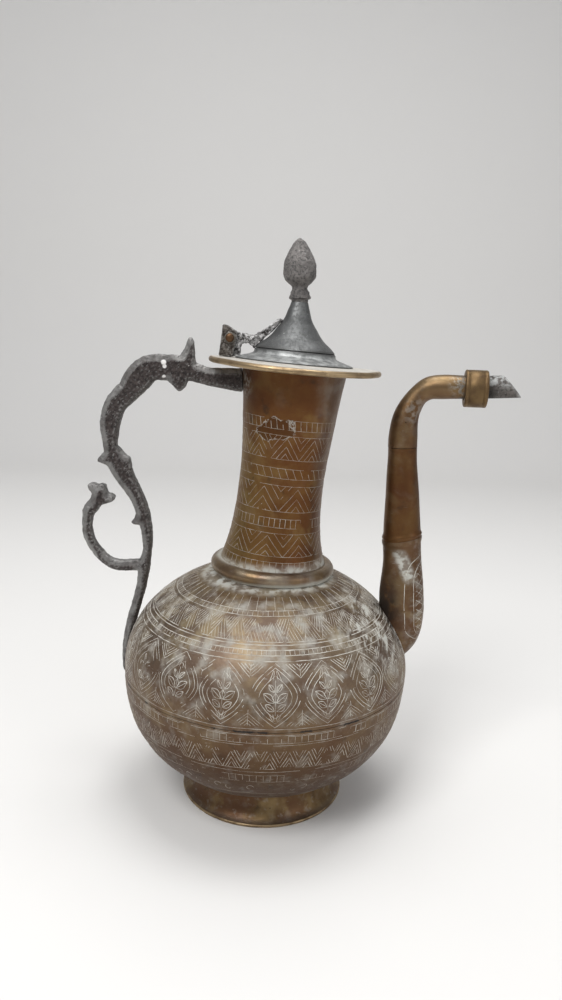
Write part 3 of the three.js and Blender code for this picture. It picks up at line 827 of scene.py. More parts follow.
@dataclass(frozen=True)
class ChalkFinish:
    """Pale residue packed in the engraved lines."""

    name: str
    pale: Colour = (0.68, 0.67, 0.61)
    worn: Colour = (0.24, 0.18, 0.13)
    bright_from: float = 50.0
    bright_to: float = 112.0
    least: float = 0.4

    def material(self) -> Material:
        """Builds the finish.

        Returns:
            The material.
        """
        bench = Finish(self.name)
        patch = bench.ease(bench.cloud(8, 4, 0.65), 0.34, 0.62)
        climb = self.least + (1 - self.least) * bench.ease(bench.z, self.bright_from, self.bright_to)
        share = climb * (0.45 + 0.55 * patch)
        colour = bench.blend(share, self.worn, self.pale)
        metallic = 0.3 - 0.2 * share
        return bench.close(colour, 0.68 + 0.2 * share, metallic, bench.cloud(0.6, 2), 0.1)


# Belly and foot


@dataclass(frozen=True)
class Belly:
    """The raised belly, in two halves that lap at a seam."""

    radius: float = 90.0
    equator: float = 88.0
    depth: float = 76.3
    rise: float = 65.5
    fullness: float = 2.35
    seam: float = 84.0
    seam_lap: float = 4.0
    mouth: float = 32.35
    waves: tuple[Flat, ...] = ((0.42, 3.2), (0.16, 8.5), (0.06, 24))  # height and how often
    around: int = 176

    def point(self, angle: float, grow: float = 0.0) -> Flat:
        """Point of the skin.

        Args:
            angle: Degrees from -90 at the bottom to 90 at the crown.
            grow: Moves the skin outwards.

        Returns:
            Radius and height.
        """
        power = 2 / self.fullness if angle < 0 else 1.0
        height = -(self.depth + grow) if angle < 0 else self.rise + grow
        sine = abs(sin(radians(angle)))
        cosine = max(0.0, cos(radians(angle)))
        across = 0.0 if abs(angle) == 90 else (self.radius + grow) * cosine**power
        return across, self.equator + height * sine**power

    def angle(self, height: float, grow: float = 0.0) -> float:
        """Angle at which the skin has a height.

        Args:
            height: The height.
            grow: Moves the skin outwards.

        Returns:
            Degrees from -90 at the bottom to 90 at the crown.
        """
        up = height - self.equator
        if up < 0:
            return -degrees(asin((-up / (self.depth + grow)) ** (self.fullness / 2)))
        return degrees(asin(up / (self.rise + grow)))

    def skin(self, grow: float, start: float, stop: float, steps: int) -> list[Flat]:
        """Points of the skin between two angles."""
        return [self.point(angle, grow) for angle in spaced(start, stop, steps)]

    def radius_at(self, height: float) -> float:
        """Radius of the skin at a height."""
        return self.point(self.angle(height))[0]

    def underside_at(self, radius: float) -> float:
        """Height of the bowl's underside at a radius."""
        share = (radius / self.radius) ** self.fullness
        return self.equator - self.depth * (1 - share) ** (1 / self.fullness)

    def crown_at(self, radius: float) -> float:
        """Height of the shoulder at a radius."""
        return self.equator + self.rise * sqrt(1 - (radius / self.radius) ** 2)

    def beaten(self, point: Vector) -> Vector:
        """Moves a point of the belly as raising by hammer and old dents have left it.

        Args:
            point: The point.

        Returns:
            Where it is now.
        """
        ray = (point - Vector((0, 0, self.equator))).normalized()
        wave = sum(height * noise.noise(ray * often) for height, often in self.waves)
        return point + ray * (wave * eased(point.xy.length, 30, 50))

    def lower(self) -> Skin:
        """The bowl with the lap that stands inside the shoulder half.

        Returns:
            A closed skin.
        """
        inside = -SHEET - FIT
        top, foot = self.seam + self.seam_lap, self.seam - self.seam_lap
        outer = self.skin(0, -90, self.angle(self.seam), 60)
        lap_out = [self.point(self.angle(height, inside), inside) for height in (self.seam, top)]
        thin = inside - SHEET
        lap_in = [self.point(self.angle(height, thin), thin) for height in (top, foot)]
        inner = self.skin(-SHEET, self.angle(foot - SHEET, -SHEET), -90, 24)
        return turned([*outer, *lap_out, *lap_in, *inner], self.around).pushed(self.beaten)

    def mouth_angle(self, grow: float) -> float:
        """Angle at which the skin meets the mouth."""
        return degrees(acos(self.mouth / (self.radius + grow)))

    def upper(self) -> Skin:
        """The shoulder half up to the neck.

        Returns:
            A closed skin.
        """
        outer = self.skin(0, self.angle(self.seam + FIT), self.mouth_angle(0), 60)
        lap = self.angle(self.seam + self.seam_lap, -SHEET)
        inner = self.skin(-SHEET, self.mouth_angle(-SHEET), lap, 24)
        edge = self.point(self.angle(self.seam + FIT, -SHEET), -SHEET)
        return turned([*outer, *inner, edge], self.around).pushed(self.beaten)

    def zones(self, bench: Finish) -> Masks:
        """Masks of residue, worn gold, painted shade and the seam crack. Residue and gold grow towards the
        top, partly as a painted highlight; painted shade lies round the spout's root, and painted shade with
        a red reflection darkens the underside.

        Args:
            bench: The finish.

        Returns:
            The masks.
        """
        z, out = bench.z, bench.out
        collar = bench.ease(out, 47, 38) * bench.ease(z, 120, 140) * (0.3 + 0.6 * bench.patches(5, 0.38, 0.6))
        streaks = bench.ease(bench.cloud(5, 4, 0.65, (1.6, 0.5, 0.5)), 0.46, 0.66)
        by_spout = bench.near((62, -36, 122), 34, 8) * streaks
        left = bench.near((-46, -50, 128), 34, 8)
        # golden towards the top and at the upper left: worn gold, partly a painted highlight
        gold = (bench.ease(z, 112, 132) + left) * bench.patches(11, 0.42, 0.62) * 0.6
        film = 0.12 + 0.3 * bench.patches(9, 0.42, 0.66, 7)
        # pale film that grows towards the top: residue, partly a painted highlight on the upper shoulder
        residue_and_highlight = bench.ease(z, 62, 132) * film * bench.ease(out, 44, 52)
        # near-black round the spout's root: painted shade between the spout and the belly
        soot = bench.near((86, -6, 122), 25, 9) * bench.patches(9, 0.3, 0.5)
        ragged = abs(z - self.seam - 0.15 + 1.8 * (bench.cloud(2.6, 3) - 0.5))
        crack = bench.ease(ragged, 0.8, 0.3) * bench.ease(bench.cloud(11, 4), 0.55, 0.6)
        # darker and redder towards the bottom: painted shade with a red reflection
        low = bench.ease(z, 100, 46) * 0.75
        return {"pale": collar + by_spout + residue_and_highlight, "gold": gold, "soot": soot + crack * 0.9, "low": low}

    def build(self) -> None:
        """Makes both halves."""
        finish = CopperFinish("belly_copper", dust=0.3, matt=0.41).material(self.zones)
        add_piece("bowl_skin", self.lower(), finish, Slot.COPPER, ["body_lower"])
        add_piece("shoulder_skin", self.upper(), finish, Slot.COPPER, ["body_upper"])


@dataclass(frozen=True)
class Foot:
    """The flared foot ring and the rim that it stands on."""

    belly: Belly
    radius: float = 52.6
    waist: float = 44.4
    rim_height: float = 2.2
    rim_width: float = 3.0
    around: int = 144

    def flare(self) -> list[Flat]:
        """Outer profile of the foot ring, from the bowl down.

        Returns:
            Radius and height pairs.
        """
        bottom = self.belly.equator - self.belly.depth
        top = Vector((self.waist, 2 * self.belly.underside_at(self.waist) - bottom - 2.2))
        waist = Vector((self.waist + 0.6, self.rim_height + 4))
        low = Vector((self.radius - 0.4, self.rim_height + FIT))
        curve = [top * (1 - t) ** 2 + waist * 2 * t * (1 - t) + low * t**2 for t in spaced(0, 1, 18)]
        return [(point.x, point.y) for point in curve]

    def stains(self, bench: Finish) -> Masks:
        """Masks of worn gold and of pale residue."""
        pale = bench.ease(bench.z, 5, 2.4) * 0.1 + bench.patches(4, 0.56, 0.7, 5) * 0.15
        return {"gold": bench.patches(12, 0.5, 0.66) * 0.4, "pale": pale}

    def build(self) -> None:
        """Makes the ring and the rim."""
        outer = self.flare()
        inner = [(radius - SHEET, height) for radius, height in reversed(outer)]
        brown = CopperFinish("foot_copper", brown=(0.13, 0.078, 0.036), golden=(0.26, 0.18, 0.085), dust=0.16)
        finish = brown.material(self.stains)
        add_piece("foot_skin", turned([*outer, *inner], self.around), finish, Slot.COPPER, ["foot_ring"])
        inside, half = self.radius - self.rim_width, self.rim_height / 2
        round_edge = arc((self.radius - half, half), (half, half), -75, 75, 8)
        flat = [(inside, 0.0), (self.radius - half, 0.0)]
        rim = turned([*flat, *round_edge, (inside, self.rim_height)], self.around)
        brass = BrassFinish("foot_brass", brown_share=0.85).material()
        add_piece("foot_rim_ring", rim, brass, Slot.BRASS, ["foot_rim"])


# Neck


@dataclass(frozen=True)
class Neck:
    """The waisted neck on a leaning axis and the moulding at its foot."""

    belly: Belly
    shift: float = 2.2
    lean: float = 2.5
    waist: float = 26.2
    waist_place: float = 0.49
    foot_flare: float = 9.9
    foot_curve: float = 2.9
    mouth_flare: float = 6.0
    mouth_curve: float = 1.5
    mouth_height: float = 278.1
    mouth_shift: float = 12.15
    head_lean: float = 3.47
    ring_radius: float = 38.9
    ring_tube: float = 4.6
    middle: float = 7.0
    around: int = 112

    @property
    def foot_height(self) -> float:
        """Height at which the axis starts, on the shoulder."""
        return self.belly.crown_at(self.waist + self.foot_flare)

    def axis(self, share: float) -> Vector:
        """Point of the axis at a share of its length parameter.

        Args:
            share: 0 at the shoulder, 1 at the mouth.

        Returns:
            The point.
        """
        low, high = self.foot_height, self.mouth_height
        third = (high - low) / 3
        knots = [
            Vector((self.shift, 0, low)),
            Vector((self.shift + third * tan(radians(self.lean)), 0, low + third)),
            Vector((self.mouth_shift - third * tan(radians(self.head_lean)), 0, high - third)),
            Vector((self.mouth_shift, 0, high)),
        ]
        rest = 1 - share
        weights = (rest**3, 3 * share * rest**2, 3 * share**2 * rest, share**3)
        return sum((knot * weight for knot, weight in zip(knots, weights)), Vector())

    def run(self, share: float) -> Vector:
        """Direction of the axis."""
        near = max(0.0, share)
        return (self.axis(near + 0.001) - self.axis(near - 0.001)).normalized()

    def radius_at(self, share: float) -> float:
        """Radius of the neck at a share of its height.

        Args:
            share: 0 at the shoulder, 1 at the mouth.

        Returns:
            The radius.
        """
        over = share - self.waist_place
        if over > 0:
            return self.waist + self.mouth_flare * (over / (1 - self.waist_place)) ** self.mouth_curve
        return self.waist + self.foot_flare * (-over / self.waist_place) ** self.foot_curve

    def ring(self, share: float, grow: float) -> list[Vector]:
        """Ring of the neck's skin."""
        return hoop(self.axis(share), self.run(share), self.radius_at(share) + grow, 1, self.around)

    def beaten(self, point: Vector) -> Vector:
        """Moves a point of the neck as hand work has left it.

        Args:
            point: The point.

        Returns:
            Where it is now.
        """
        side = Vector((point.x - self.middle, point.y, 0)).normalized()
        wave = 0.28 * ripple(side, point.z, 1.6, 26) + 0.1 * ripple(side, point.z, 4, 9)
        keep = eased(point.z, 150, 170) * eased(point.z, 277, 262)
        return point + side * (wave * keep)

    def zones(self, bench: Finish) -> Masks:
        """Masks of residue over the moulding, of the worn golden left side, of painted shade below the plate
        and of the scar on the front.

        Args:
            bench: The finish.

        Returns:
            The masks.
        """
        z = bench.z
        chalk = bench.ease(z, 162, 156.5) * (0.3 + 0.6 * bench.patches(5, 0.36, 0.58))
        worn = 0.25 + 0.5 * bench.patches(14, 0.35, 0.6)
        left = bench.ease(bench.x, 10, -18) * bench.ease(z, 250, 230) * worn
        # darker and redder towards the top, below the plate: painted shade
        top = bench.ease(z, 246, 262) * 0.55
        edge = bench.near((-17, -10, 266), 12, 2) * bench.patches(2.4, 0.46, 0.6) * 0.5
        right = bench.ease(bench.x, 22, 36) * (0.1 + 0.12 * bench.patches(9, 0.4, 0.66, 5))
        flat_place = bench.vector("MULTIPLY", bench.place, (0.6, 0.4, 1))
        away = bench.vector("DISTANCE", flat_place, (0.9, -10.4, 240.2), "Value")
        ragged = away + 13 * (bench.cloud(8, 5, 0.66) - 0.5)
        front = bench.ease(bench.y, -12, -19)
        line = bench.ease(abs(ragged - 6.3), 0.5, 0.15) * bench.patches(4.5, 0.42, 0.56)
        scar = bench.ease(ragged, 6.6, 6.0) * front * 0.7
        return {"pale": chalk + edge + right + line * front * 0.62, "gold": left, "low": top + scar}

    def wiped(self, bench: Finish) -> Masks:
        """Mask of residue in the corners of the moulding."""
        low = bench.ease(bench.out, 34.5, 31) + bench.ease(bench.z, 151.5, 148.6)
        return {"pale": low * 0.75 + (0.05 + bench.patches(11, 0.4, 0.72, 6) * 0.2)}

    def build(self) -> None:
        """Makes the tube and the moulding."""
        stops = spaced(-0.012, 1, 84)
        outer = [self.ring(share, 0) for share in stops]
        inner = [self.ring(share, -SHEET) for share in reversed(stops)]
        tube = skinned([*outer, *inner]).pushed(self.beaten)
        tones = {"brown": (0.165, 0.08, 0.025), "red": (0.12, 0.047, 0.017), "golden": (0.25, 0.16, 0.058)}
        finish = CopperFinish("neck_copper", dust=0.04, **tones).material(self.zones)
        add_piece("neck_skin", tube, finish, Slot.COPPER, ["neck_tube"])
        centre = self.ring_radius - self.ring_tube
        height = self.belly.crown_at(centre) + self.ring_tube * 0.75
        section = arc((centre, 0.0), (self.ring_tube, self.ring_tube), 0, 345, 23)
        lean = Matrix.Rotation(radians(self.lean), 4, "Y")
        place = Matrix.Translation((self.shift + 0.15, 0, height)) @ lean
        brown = CopperFinish("moulding_copper", (0.21, 0.135, 0.062), dust=0.08, gold_share=0.7, matt=0.28)
        moulding = turned(section, self.around).placed(place)
        add_piece("neck_moulding", moulding, brown.material(self.wiped), Slot.COPPER, ["neck_ring"])


# Head: plate, hinge and lid


@dataclass(frozen=True)
class Head:
    """The rim plate and the hinge on it, which share one lean."""

    neck: Neck
    plate_radius: float = 52.0
    plate_edge: float = 3.5
    plate_sheet: float = 2.0
    front_dip: float = 1.5
    pin_out: float = 39.9
    pin_up: float = 11.25
    pin_radius: float = 1.8
    pin_head: float = 2.6
    washer_radius: float = 3.3
    washer: float = 0.9
    knuckle: float = 7.0
    play: float = 0.35
    ear: float = 2.6
    dome: float = 1.3
    chamfer: float = 0.3
    grain: float = 0.34

    @property
    def stand(self) -> Matrix:
        """Where the middle of the plate's top stands, and its lean."""
        place = Matrix.Translation((self.neck.mouth_shift, 0, self.neck.mouth_height))
        return place @ Matrix.Rotation(radians(self.neck.head_lean), 4, "Y")

    def warped(self, point: Vector) -> Vector:
        """Lets the front edge of the plate droop a little.

        Args:
            point: The point.

        Returns:
            Where it is now.
        """
        out = point.xy.length
        front = max(0.0, -point.y / max(out, 1e-6)) ** 2
        droop = self.front_dip * front * eased(out, 36, 53)
        wave = 0.22 * noise.noise(Vector((point.x / 22, point.y / 22, 3.0))) * eased(out, 38, 52)
        return Vector((point.x, point.y, point.z - droop + wave))

    def above(self, bench: Finish, shift: float = 0.0) -> Wire:
        """Height over the leaning plate, about an axis that may be shifted along it."""
        lean = tan(radians(self.neck.head_lean))
        return bench.z - self.neck.mouth_height + lean * (bench.x - (self.neck.mouth_shift + shift))

    def whitened(self, bench: Finish) -> Wire:
        """Mask of the plate's whitened top, which leaves the rolled edge bare.

        Args:
            bench: The finish.

        Returns:
            The mask.
        """
        flat_place = bench.vector("MULTIPLY", bench.place, (1, 1, 0))
        out = bench.vector("DISTANCE", flat_place, (self.neck.mouth_shift, 0, 0), "Value")
        top = bench.ease(self.above(bench), -2.1, -1.4)
        return bench.ease(out, 51.2, 49.6) * top * (0.75 + 0.25 * bench.cloud(5))

    def build_plate(self) -> None:
        """Makes the plate with its rolled edge."""
        edge = self.plate_edge / 2
        bore = self.neck.waist + self.neck.mouth_flare + FIT
        top = [(radius, 0.0) for radius in spaced(bore, self.plate_radius - edge - 1, 8)]
        roll = arc((self.plate_radius - edge, -edge), (edge, edge), 90, -126, 18)
        below = spaced(self.plate_radius - self.plate_edge, bore, 8)
        under = [(radius, -self.plate_sheet) for radius in below]
        plate = turned([*top, *roll, *under], 160).pushed(self.warped).placed(self.stand)
        finish = BrassFinish("plate_brass", brown_share=0.6).material(self.whitened)
        add_piece("plate_sheet", plate, finish, Slot.BRASS, ["rim_plate"])

    def build_hinge(self) -> None:
        """Makes the ears, washers and pin."""
        dull = CastFinish("ear_casting", mid=(0.12, 0.095, 0.07), worn_share=0.8, bevel_only=False).material()
        for side, seed in (("front", 3.0), ("back", 9.0)):
            ear = cast_skin(f"hinge_ear_{side}", self.grain, 0.3, seed)
            add_piece(f"ear_{side}_casting", ear, dull, Slot.CASTING, [f"hinge_ear_{side}"])
        at_pin = self.stand @ Matrix.Translation((-self.pin_out, 0, self.pin_up))
        across = at_pin @ Matrix.Rotation(radians(90), 4, "X")
        tin = TinFinish("washer_tin", grey=(0.26, 0.235, 0.2), rough_cast=0.4).material()
        low = self.knuckle / 2 + self.play + self.ear + FIT
        high = low + self.washer
        bore, wide = self.pin_radius + FIT, self.washer_radius
        rounded = [(wide, high - self.chamfer), (wide - self.chamfer, high)]
        for side, sign in (("front", 1), ("back", -1)):
            profile = [(bore, low), (wide, low), *rounded, (bore, high)]
            ring = turned([(radius, sign * height) for radius, height in profile], 40).placed(across)
            add_piece(f"washer_{side}_ring", ring, tin, Slot.TINNED, [f"hinge_washer_{side}"])
        shoulder = high + FIT
        dome = arc((0.0, shoulder), (self.pin_head, self.dome), 0, 84, 7)
        half = [(self.pin_radius, 0.0), (self.pin_radius, shoulder), *dome, (0.0, shoulder + self.dome)]
        lower = [(radius, -height) for radius, height in reversed(half[1:])]
        copper = CopperFinish("pin_copper", brown=(0.1, 0.055, 0.028), golden=(0.15, 0.09, 0.045), dust=0.1)
        pin = turned([*lower, *half], 32).placed(across)
        add_piece("pin_copper", pin, copper.material(), Slot.COPPER, ["hinge_pin"])

    def build(self) -> None:
        """Makes the plate and the hinge."""
        self.build_plate()
        self.build_hinge()


# Lid: shares of the step's radius and of the height, shares of the lid's radius and heights,
# distances from the step's radius and heights
LID_BELL = ((0.87, 0.287), (0.653, 0.413), (0.494, 0.562), (0.347, 0.711))
LID_SLOPE = ((0.92, 1.8), (0.85, 2.6), (0.77, 3.4))
LID_STEP = ((1, 4.1), (0.25, 4.7), (0, 5.5), (-0.1, 6.4), (-0.5, 6.9), (-1.0, 7.15))
# The finial: shares of the bud's radius and of the height, then radii and heights of the stem
FINIAL_EGG = (
    (0.52, 0.257), (0.76, 0.312), (0.97, 0.392), (1.015, 0.486), (0.99, 0.59), (0.865, 0.696),
    (0.67, 0.8), (0.46, 0.895), (0.29, 0.957), (0.07, 1.0),
)
FINIAL_STEM = (
    (4.7, -0.75), (4.9, 0.8), (5.05, 1.5), (5.9, 1.8), (6.45, 2.15), (6.5, 2.7), (6.25, 3.4),
    (5.9, 4.2), (5.75, 4.9), (5.65, 5.6), (5.2, 6.3), (4.6, 7.2), (4.5, 8.2),
)


@dataclass(frozen=True)
class Lid:
    """The tinned bell lid with its finial, strap and inner sleeve."""

    head: Head
    shift: float = -0.8
    radius: float = 35.5
    height: float = 35.6
    top_radius: float = 5.0
    step: float = 24.5
    sheet: float = 1.3
    sleeve_radius: float = 28.0
    sleeve_depth: float = 5.0
    sleeve_height: float = 1.6
    finial_lean: float = -5.6
    finial_height: float = 36.2
    bud: float = 9.6
    shank: float = 2.0
    rove: float = 3.4
    rove_thickness: float = 1.2
    around: int = 112

    @property
    def stand(self) -> Matrix:
        """The lid's own axis on the plate."""
        return self.head.stand @ Matrix.Translation((self.shift, 0, 0))

    def skin(self) -> list[Flat]:
        """Outer profile of the lid.

        Returns:
            Radius and height pairs, from the flange up.
        """
        step, height = self.step, self.height
        bell = [(step * out, height * up) for out, up in LID_BELL]
        bell = [(step - 0.6, height * 0.213), *bell]
        bell += [(self.top_radius * 1.28, height * 0.871), (self.top_radius, height)]
        foot = [(self.radius, FIT), (self.radius + 0.1, 0.6), (self.radius - 0.4, 1.0)]
        slope = [(self.radius * out, up) for out, up in LID_SLOPE]
        neck = [(step + out, up) for out, up in LID_STEP]
        return [*foot, *slope, *neck, *spline(bell, 40)]

    def cover(self) -> Skin:
        """The bell with its wall.

        Returns:
            A closed skin.
        """
        outer = self.skin()
        bore = self.shank + 2 * FIT
        inner = []
        for (radius, height), before, after in zip(outer, [outer[0], *outer], [*outer[1:], outer[-1]]):
            run = (Vector(after) - Vector(before)).normalized()
            point = (radius - run.y * self.sheet, max(FIT, height + run.x * self.sheet))
            if point[1] < self.height - self.sheet - 0.5 and point[0] < self.radius - 4:
                inner.append(point)
        ceiling = self.height - self.sheet
        top = [(bore, self.height), (bore, ceiling), (self.top_radius - self.sheet, ceiling)]
        inner = [point for i, point in enumerate(inner) if i == 0 or point[0] < inner[i - 1][0] + 0.05]
        return turned([*outer, *top, *reversed(inner)], self.around)

    def shadow_and_flange(self, bench: Finish) -> Masks:
        """Masks of the painted shadow in the groove over the step and of the light flange.

        Args:
            bench: The finish.

        Returns:
            The masks.
        """
        over = self.head.above(bench, self.shift)
        # dark band in the groove over the step: painted shadow
        groove = bench.ease(abs(over - 7.6), 1.5, 0.5) * (0.4 + 0.5 * bench.patches(9, 0.35, 0.6))
        light = bench.ease(over, 7.0, 5.0) * bench.ease(over, 0.2, 1.5)
        return {"dark": groove, "light": light * (0.25 + 0.5 * bench.patches(5, 0.4, 0.62))}

    def dented(self, point: Vector) -> Vector:
        """Moves a point of the bell as beating has left it.

        Args:
            point: The point.

        Returns:
            Where it is now.
        """
        side = Vector((point.x, point.y, 0))
        if side.length < 6 or point.z < 5:
            return point
        ray = side.normalized()
        return point + ray * (0.22 * ripple(ray, point.z, 1.8, 14) * eased(point.z, 8, 14))

    def finial(self) -> Skin:
        """The rough-cast bud on its collar and the shank through the lid.

        Returns:
            A closed skin.
        """
        under = -self.sheet - self.rove_thickness - 2.5 * FIT
        head, flat = under - 1, FINIAL_STEM[0][1]
        bulb = spline([(self.bud * out, self.finial_height * up) for out, up in FINIAL_EGG], 63)
        shank, peen = self.shank, self.shank + 0.8
        shaft = [(0.0, head), (peen, head), (peen, under), (shank, under), (shank, flat)]
        return turned([*shaft, *FINIAL_STEM, *bulb, (0.0, self.finial_height)], 96)

    def rough(self, point: Vector) -> Vector:
        """Moves a point of the finial as its sand casting left it.

        Args:
            point: The point.

        Returns:
            Where it is now.
        """
        side = Vector((point.x, point.y, 0))
        if point.z < 1 or side.length < 0.5:
            return point
        ray = side.normalized()
        lumps = 0.5 * noise.noise(point / 3.1) + 0.45 * noise.noise(point / 1.3)
        pits = max(0.0, noise.noise(point / 2) - 0.3)
        return point + ray * (0.5 * (lumps - pits))

    def build(self) -> None:
        """Makes the pieces that swing with the lid."""
        tin = TinFinish("lid_tin").material(self.shadow_and_flange)
        cover = self.cover().pushed(self.dented).placed(self.stand)
        add_piece("lid_bell", cover, tin, Slot.TINNED, ["lid_cover"], Body.LID)
        inside, low = self.sleeve_radius - self.sheet, -self.sleeve_depth
        high = self.sleeve_height
        ring = [(inside, low), (self.sleeve_radius, low), (self.sleeve_radius, high), (inside, high)]
        sleeve = turned(ring, self.around).placed(self.stand)
        dull = TinFinish("sleeve_tin", grey=(0.2, 0.2, 0.195)).material()
        add_piece("lid_sleeve", sleeve, dull, Slot.TINNED, ["lid_inner_sleeve"], Body.LID)
        crown = self.stand @ Matrix.Translation((0, 0, self.height))
        cast = TinFinish("finial_tin", grey=(0.29, 0.272, 0.26), rough_cast=0.8).material()
        lean = Matrix.Rotation(radians(self.finial_lean), 4, "Y")
        bud = self.finial().pushed(self.rough).placed(crown @ lean)
        add_piece("finial_casting", bud, cast, Slot.TINNED, ["finial"], Body.LID)
        low = -self.sheet - FIT - self.rove_thickness
        high = low + self.rove_thickness
        bore = self.shank + 2 * FIT
        rove = turned([(bore, low), (self.rove, low), (self.rove, high), (bore, high)], 32).placed(crown)
        add_piece("rove_washer", rove, dull, Slot.TINNED, ["finial_rove"], Body.LID)
        tones = {"mid": (0.13, 0.125, 0.12), "worn": (0.58, 0.57, 0.56)}
        rough = CastFinish("strap_casting_finish", bevel_only=False, **tones)
        strap = cast_skin("lid_strap", self.head.grain, 0.95, 5.0, 0.55)
        add_piece("strap_casting", strap, rough.material(), Slot.CASTING, ["lid_strap"], Body.LID)


# Handle


@dataclass(frozen=True)
class Handle:
    """The cast scroll handle."""

    grain: float = 0.55
    rough: float = 0.38
    # width of the sloped outer band, which is painted lighter as a highlight
    band: float = 3.6
    notch: Place = (-92.6, 0.0, 262.4)
    notch_depth: float = 1.5
    notch_width: float = 1.7
    notch_reach: float = 6.0

    def notched(self, mesh: Mesh) -> None:
        """Sinks a notch into the outer bend, where two leaves of the pattern met.

        Args:
            mesh: The casting, in metres.
        """
        middle = (Vector(self.notch) + Vector((BELLY_X, 0, 0))) * MM
        for vertex in mesh.vertices:
            away = Vector((vertex.co.x - middle.x, 0, vertex.co.z - middle.z)).length / MM
            if away < self.notch_reach:
                depth = self.notch_depth * MM * exp(-((away / self.notch_width) ** 2))
                vertex.co += Vector((0.72, 0, -0.7)) * depth

    def drops(self, bench: Finish) -> Wire:
        """Mask of two drops of white paint on the front."""
        upper = bench.near((-66.6, -4, 276.2), 1.9, 1.2) + bench.near((-66, -4, 273.8), 1.5, 0.9)
        return upper + bench.near((-66.3, -4, 267.6), 1.3, 0.8)

    def build(self) -> None:
        """Makes the casting."""
        mesh = cast_skin("handle", self.grain, self.rough, 1.0, 1.0, self.band)
        self.notched(mesh)
        finish = CastFinish("handle_cast").material(self.drops)
        add_piece("handle_casting", mesh, finish, Slot.CASTING, ["handle"])


# Spout

# Stations of the axis: distance out from the shaft, or for the end from the outlet, radius, and
# share of the rise from root to bend, or height from the outlet
SPOUT_RISE = (
    (-2.3, 15.2, 0.07), (0.6, 14.4, 0.155), (0, 14, 0.275), (-0.8, 12, 0.42), (-1.9, 11.8, 0.525),
    (-3.4, 10.6, 0.71), (-5, 9, 0.9),
)
SPOUT_TURN = ((-4.8, 7.9, -20.4), (-2.4, 7, -13), (2.2, 6.2, -5.7), (8.3, 6.9, -1.3), (16.3, 7.3, -0.2))
SPOUT_END = ((-35.4, 7, 0.1), (-28.4, 7, 0.2), (2, 6.9, 2.2))
# Distances along the tube and how far the skin stands out there
ROLLED_LIP = ((-1.6, 0.0), (-0.8, 0.15), (0.2, 0.4), (1.2, 0.6), (2.4, 0.7))
SOLDER_RIDGE = ((0, 0.45), (0.5, 0.3), (1, 0.3), (1.6, 0.6), (2.2, 0.75), (2.8, 0.55), (3.4, 0.25))


